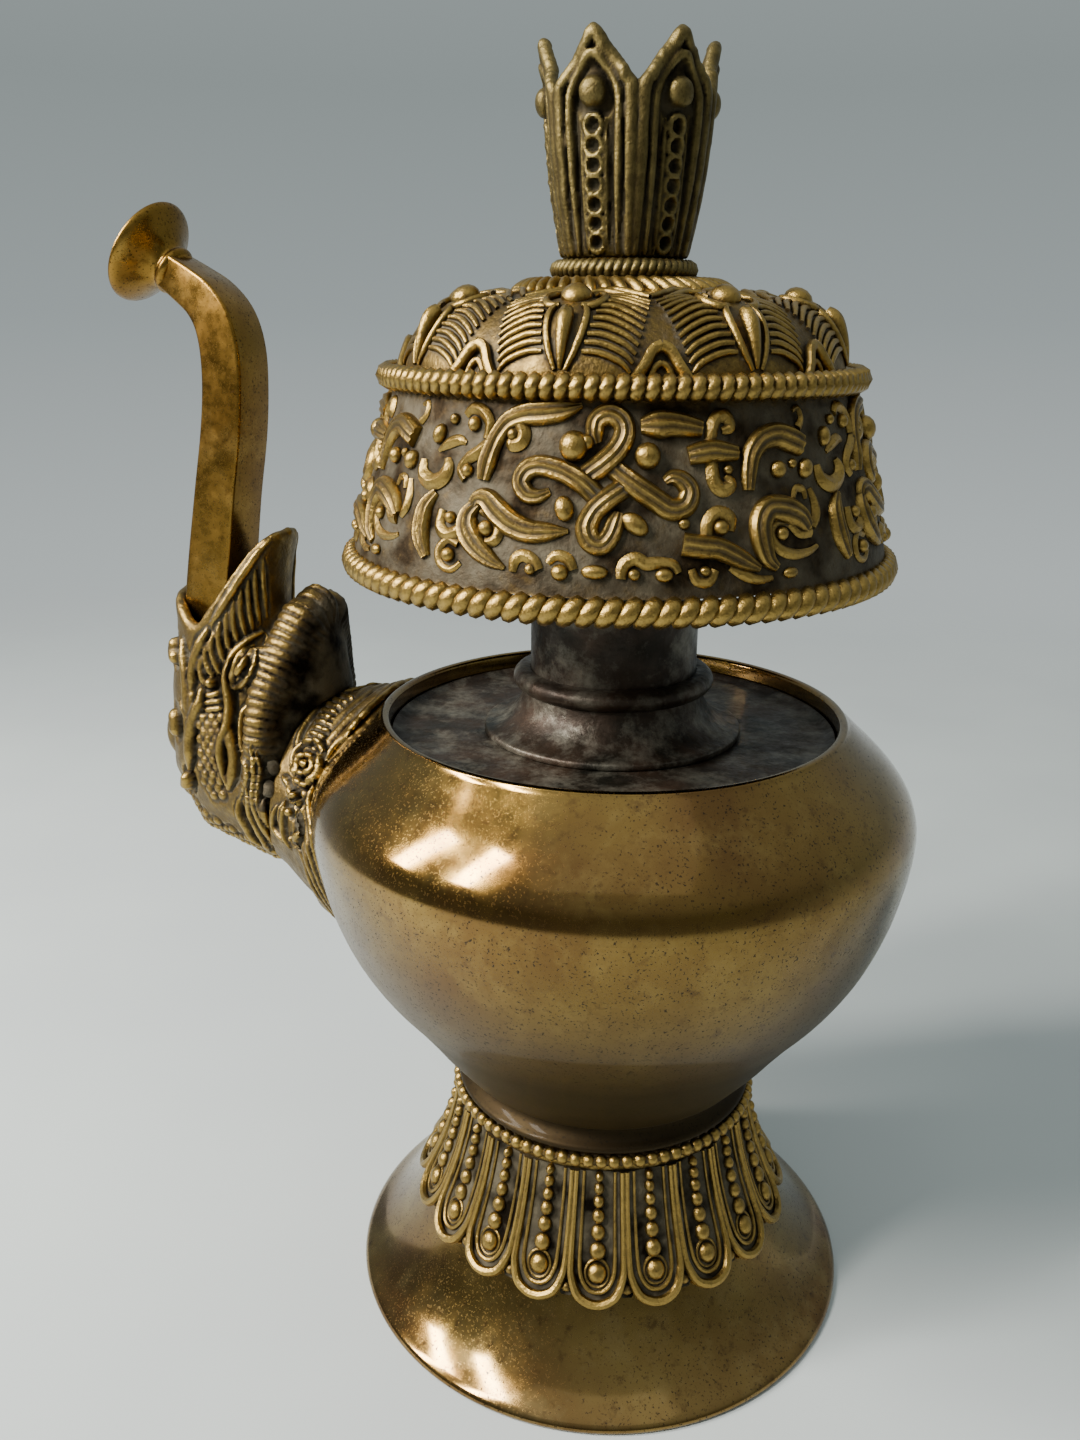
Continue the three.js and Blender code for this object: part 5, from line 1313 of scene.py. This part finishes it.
# Pouring tube and its dish
tube = {
    # reach from the spout's root, height above it, half depth, half width
    "stations": [
        (47, 26.5, 5.75, 6), (42.9, 50, 5.75, 6), (39.4, 69, 5.3, 5.9), (36.5, 83, 5.1, 5.9), (35.2, 93, 5, 5.8),
        (35.1, 101, 5, 5.7), (36.5, 107, 4.8, 5.5), (39.7, 111.4, 4.4, 5.1), (44.1, 114.5, 4, 4.7),
        (49.3, 117.6, 3.6, 4.2),
    ],
    "perSpan": 5,
    "edge": 0.75,  # width of the softened edge
    "wall": 1.7,
    "rootReach": 53.9,
    "rootHeight": 107,
}
dish = {
    "turn": 31,  # degrees that its axis rises above the level
    "outline": [  # radius and distance along the axis, from the collar at the tube's end to the rim and back inside
        (4.6, -1.6), (5.2, -0.9), (5.3, -0.1), (4.9, 0.5), (5.3, 1.4), (7.0, 3.0), (9.3, 4.6), (11.0, 5.9),
        (11.55, 6.8), (11.5, 7.3), (11.1, 7.45), (10.5, 7.0), (8.6, 5.5), (6.2, 4.2), (3.9, 3.4), (2.7, 3.0),
        (2.6, 2.6), (2.6, -1.6), (4.6, -1.6),
    ],
}


def squareRing(deep, wide, edge):
    corners = []
    for across, up in ((1, 1), (-1, 1), (-1, -1), (1, -1)):
        steps = [(0, edge), (edge * 0.1, edge * 0.55), (edge * 0.3, edge * 0.3), (edge * 0.55, edge * 0.1), (edge, 0)]
        if across != up:
            steps = steps[::-1]
        corners += [(across * (deep - a), up * (wide - b)) for a, b in steps]
    return corners


def makeTube(values):
    path = catmull(values["stations"], values["perSpan"])
    rings = []
    for i, (reach, height, deep, wide) in enumerate(path):
        before, after = path[max(i - 1, 0)], path[min(i + 1, len(path) - 1)]
        length = math.dist(before[:2], after[:2])
        forward = (after[1] - before[1]) / length, -(after[0] - before[0]) / length
        rings.append([])
        for shrink in (0, values["wall"]):
            ring = squareRing(deep - shrink, wide - shrink, values["edge"] * (0.6 if shrink else 1))
            for across, side in ring:
                x = -values["rootReach"] - reach - forward[0] * across
                z = values["rootHeight"] + height + forward[1] * across
                rings[-1].append((x, side, z))
    count = len(rings[0]) // 2
    both = 2 * count
    faces = []
    for k in range(count):
        a, b = k, (k + 1) % count
        for i in range(len(rings) - 1):
            for wall in (i * both, i * both + count):
                faces.append([wall + a, wall + b, wall + both + b, wall + both + a])
        for end in (0, (len(rings) - 1) * both):
            faces.append([end + a, end + b, end + count + b, end + count + a])
    piece = tidyMesh(meshOf("spoutTube", [corner for ring in rings for corner in ring], faces), 0.001)
    place(piece, "vessel", "polished_brass", goldenBrass, "spout_tube", smoothAngle=50)


def makeDish(values, pipe):
    reach, height = pipe["stations"][-1][:2]
    piece = spun("spoutMouth", catmull(values["outline"], 3), 96)
    turn = math.radians(values["turn"])
    toEnd = Matrix.Translation((-pipe["rootReach"] - reach, 0, pipe["rootHeight"] + height))
    piece.data.transform(toEnd @ Matrix.Rotation(turn - math.pi / 2, 4, "Y"))
    place(piece, "vessel", "polished_brass", goldenBrass, "spout_mouth", smoothAngle=50)


makeTube(tube)
makeDish(dish, tube)
print("stage: tube and dish made")


# Camera, floor and light
cameraSettings = {
    "place": (100.01, -228.16, 215.7),
    "forward": (-0.3491, 0.8801, -0.3219),
    "rollDegrees": 0.36,
    "lens": 29.78,
}
lights = {  # degrees round from the front towards +X, degrees up, metres away, size in metres, watts
    "leftPane": {"round": -62, "up": 33, "away": 0.85, "size": (0.1, 0.42), "power": 11, "colour": "#fffaf4"},
    "rightPane": {"round": -37, "up": 40, "away": 0.85, "size": (0.1, 0.42), "power": 11, "colour": "#fffaf4"},
    "roomFill": {"round": 20, "up": 62, "away": 1.2, "size": (1.1, 0.8), "power": 1, "colour": "#eef3f6"},
}
table = {
    "radius": 1.2,
    "tone": "#c0c8c6",
    "patches": "#aab0b3",
    "fade": (0.3, 0.95),  # metres from the middle over which the table top melts into the room
}
room = {  # colours from straight down to straight up
    "behind": [
        (0.0, "#c9cfcf"), (0.33, "#ccd3d2"), (0.42, "#b9c1c1"), (0.5, "#9ea7a8"), (0.58, "#8f9999"), (1.0, "#c4ccce"),
    ],
    "near": [
        (0.0, "#a1a6a6"), (0.42, "#878a88"), (0.5, "#797b78"), (0.6, "#74776f"), (0.72, "#a3a9a6"), (1.0, "#ced4d4"),
    ],
    "turnOver": (-0.45, 0.25),
}


def setCamera(values):
    data = bpy.data.cameras.new("camera")
    camera = bpy.data.objects.new("camera", data)
    bpy.context.scene.collection.objects.link(camera)
    data.lens = values["lens"]
    data.sensor_width = 36
    data.clip_start = 0.01
    camera.location = Vector(values["place"]) * millimetre
    aim = Vector(values["forward"]).to_track_quat("-Z", "Y")
    camera.rotation_mode = "QUATERNION"
    camera.rotation_quaternion = aim @ Quaternion((0, 0, 1), math.radians(values["rollDegrees"]))
    bpy.context.scene.camera = camera


def setFloor(values):
    # a painted table top, matt, with faint wide patches
    deselectAll()
    bpy.ops.mesh.primitive_circle_add(vertices=96, radius=values["radius"], fill_type="NGON")
    floor = bpy.context.object
    floor.name = "floor"
    material, shader, position = newFinish("pale_table_paint")
    patches = noiseRamp(material, position, 160, [(0.35, 0), (0.65, 0.35)])
    tone = mixed(material, patches, linear(values["tone"]), linear(values["patches"]))
    setInputs(material, shader, {"Base Color": tone, "Roughness": 0.5})
    away = addNode(material, "VectorMath", {0: position}, {"operation": "LENGTH"}).outputs["Value"]
    start, end = values["fade"]
    inputs = {"Value": away, "From Min": start, "From Max": end}
    fade = addNode(material, "MapRange", inputs, {"interpolation_type": "SMOOTHERSTEP"}).outputs["Result"]
    clear = addNode(material, "BsdfTransparent").outputs["BSDF"]
    blend = addNode(material, "MixShader", {0: fade, 1: shader.outputs["BSDF"], 2: clear})
    setInputs(material, material.node_tree.nodes["Material Output"], {"Surface": blend.outputs["Shader"]})
    floor.data.materials.append(material)


def setLights(values, aimAt=Vector((0.026, -0.02, 0.12))):
    for name, lamp in values.items():
        data = bpy.data.lights.new(name, "AREA")
        data.shape = "RECTANGLE"
        data.size, data.size_y = lamp["size"]
        data.energy = lamp["power"]
        data.color = linear(lamp["colour"])[:3]
        holder = bpy.data.objects.new(name, data)
        bpy.context.scene.collection.objects.link(holder)
        turn, up = math.radians(lamp["round"]), math.radians(lamp["up"])
        direction = Vector((math.sin(turn) * math.cos(up), -math.cos(turn) * math.cos(up), math.sin(up)))
        holder.location = aimAt + direction * lamp["away"]
        holder.rotation_mode = "QUATERNION"
        holder.rotation_quaternion = direction.to_track_quat("Z", "Y")


def setRoom(values):
    # behind the vessel the room is grey above and pale towards the table; on the near side it is dark low down
    world = bpy.data.worlds.new("soft_room")
    bpy.context.scene.world = world
    world.use_nodes = True
    direction = addNode(world, "TexCoord").outputs["Generated"]
    parts = addNode(world, "SeparateXYZ", {"Vector": direction}).outputs
    height = addNode(world, "MapRange", {"Value": parts["Z"], "From Min": -1.0, "From Max": 1.0}).outputs["Result"]
    ramps = [addNode(world, "ValToRGB", {"Fac": height}, None, values[k]) for k in ("behind", "near")]
    far, close = (ramp.outputs["Color"] for ramp in ramps)
    start, end = values["turnOver"]
    side = addNode(world, "MapRange", {"Value": parts["Y"], "From Min": start, "From Max": end}).outputs["Result"]
    tones = mixed(world, side, close, far)
    setInputs(world, world.node_tree.nodes["Background"], {"Color": tones, "Strength": 1.0})


setCamera(cameraSettings)
setFloor(table)
setLights(lights)
setRoom(room)
print("stage: camera, floor and light set")
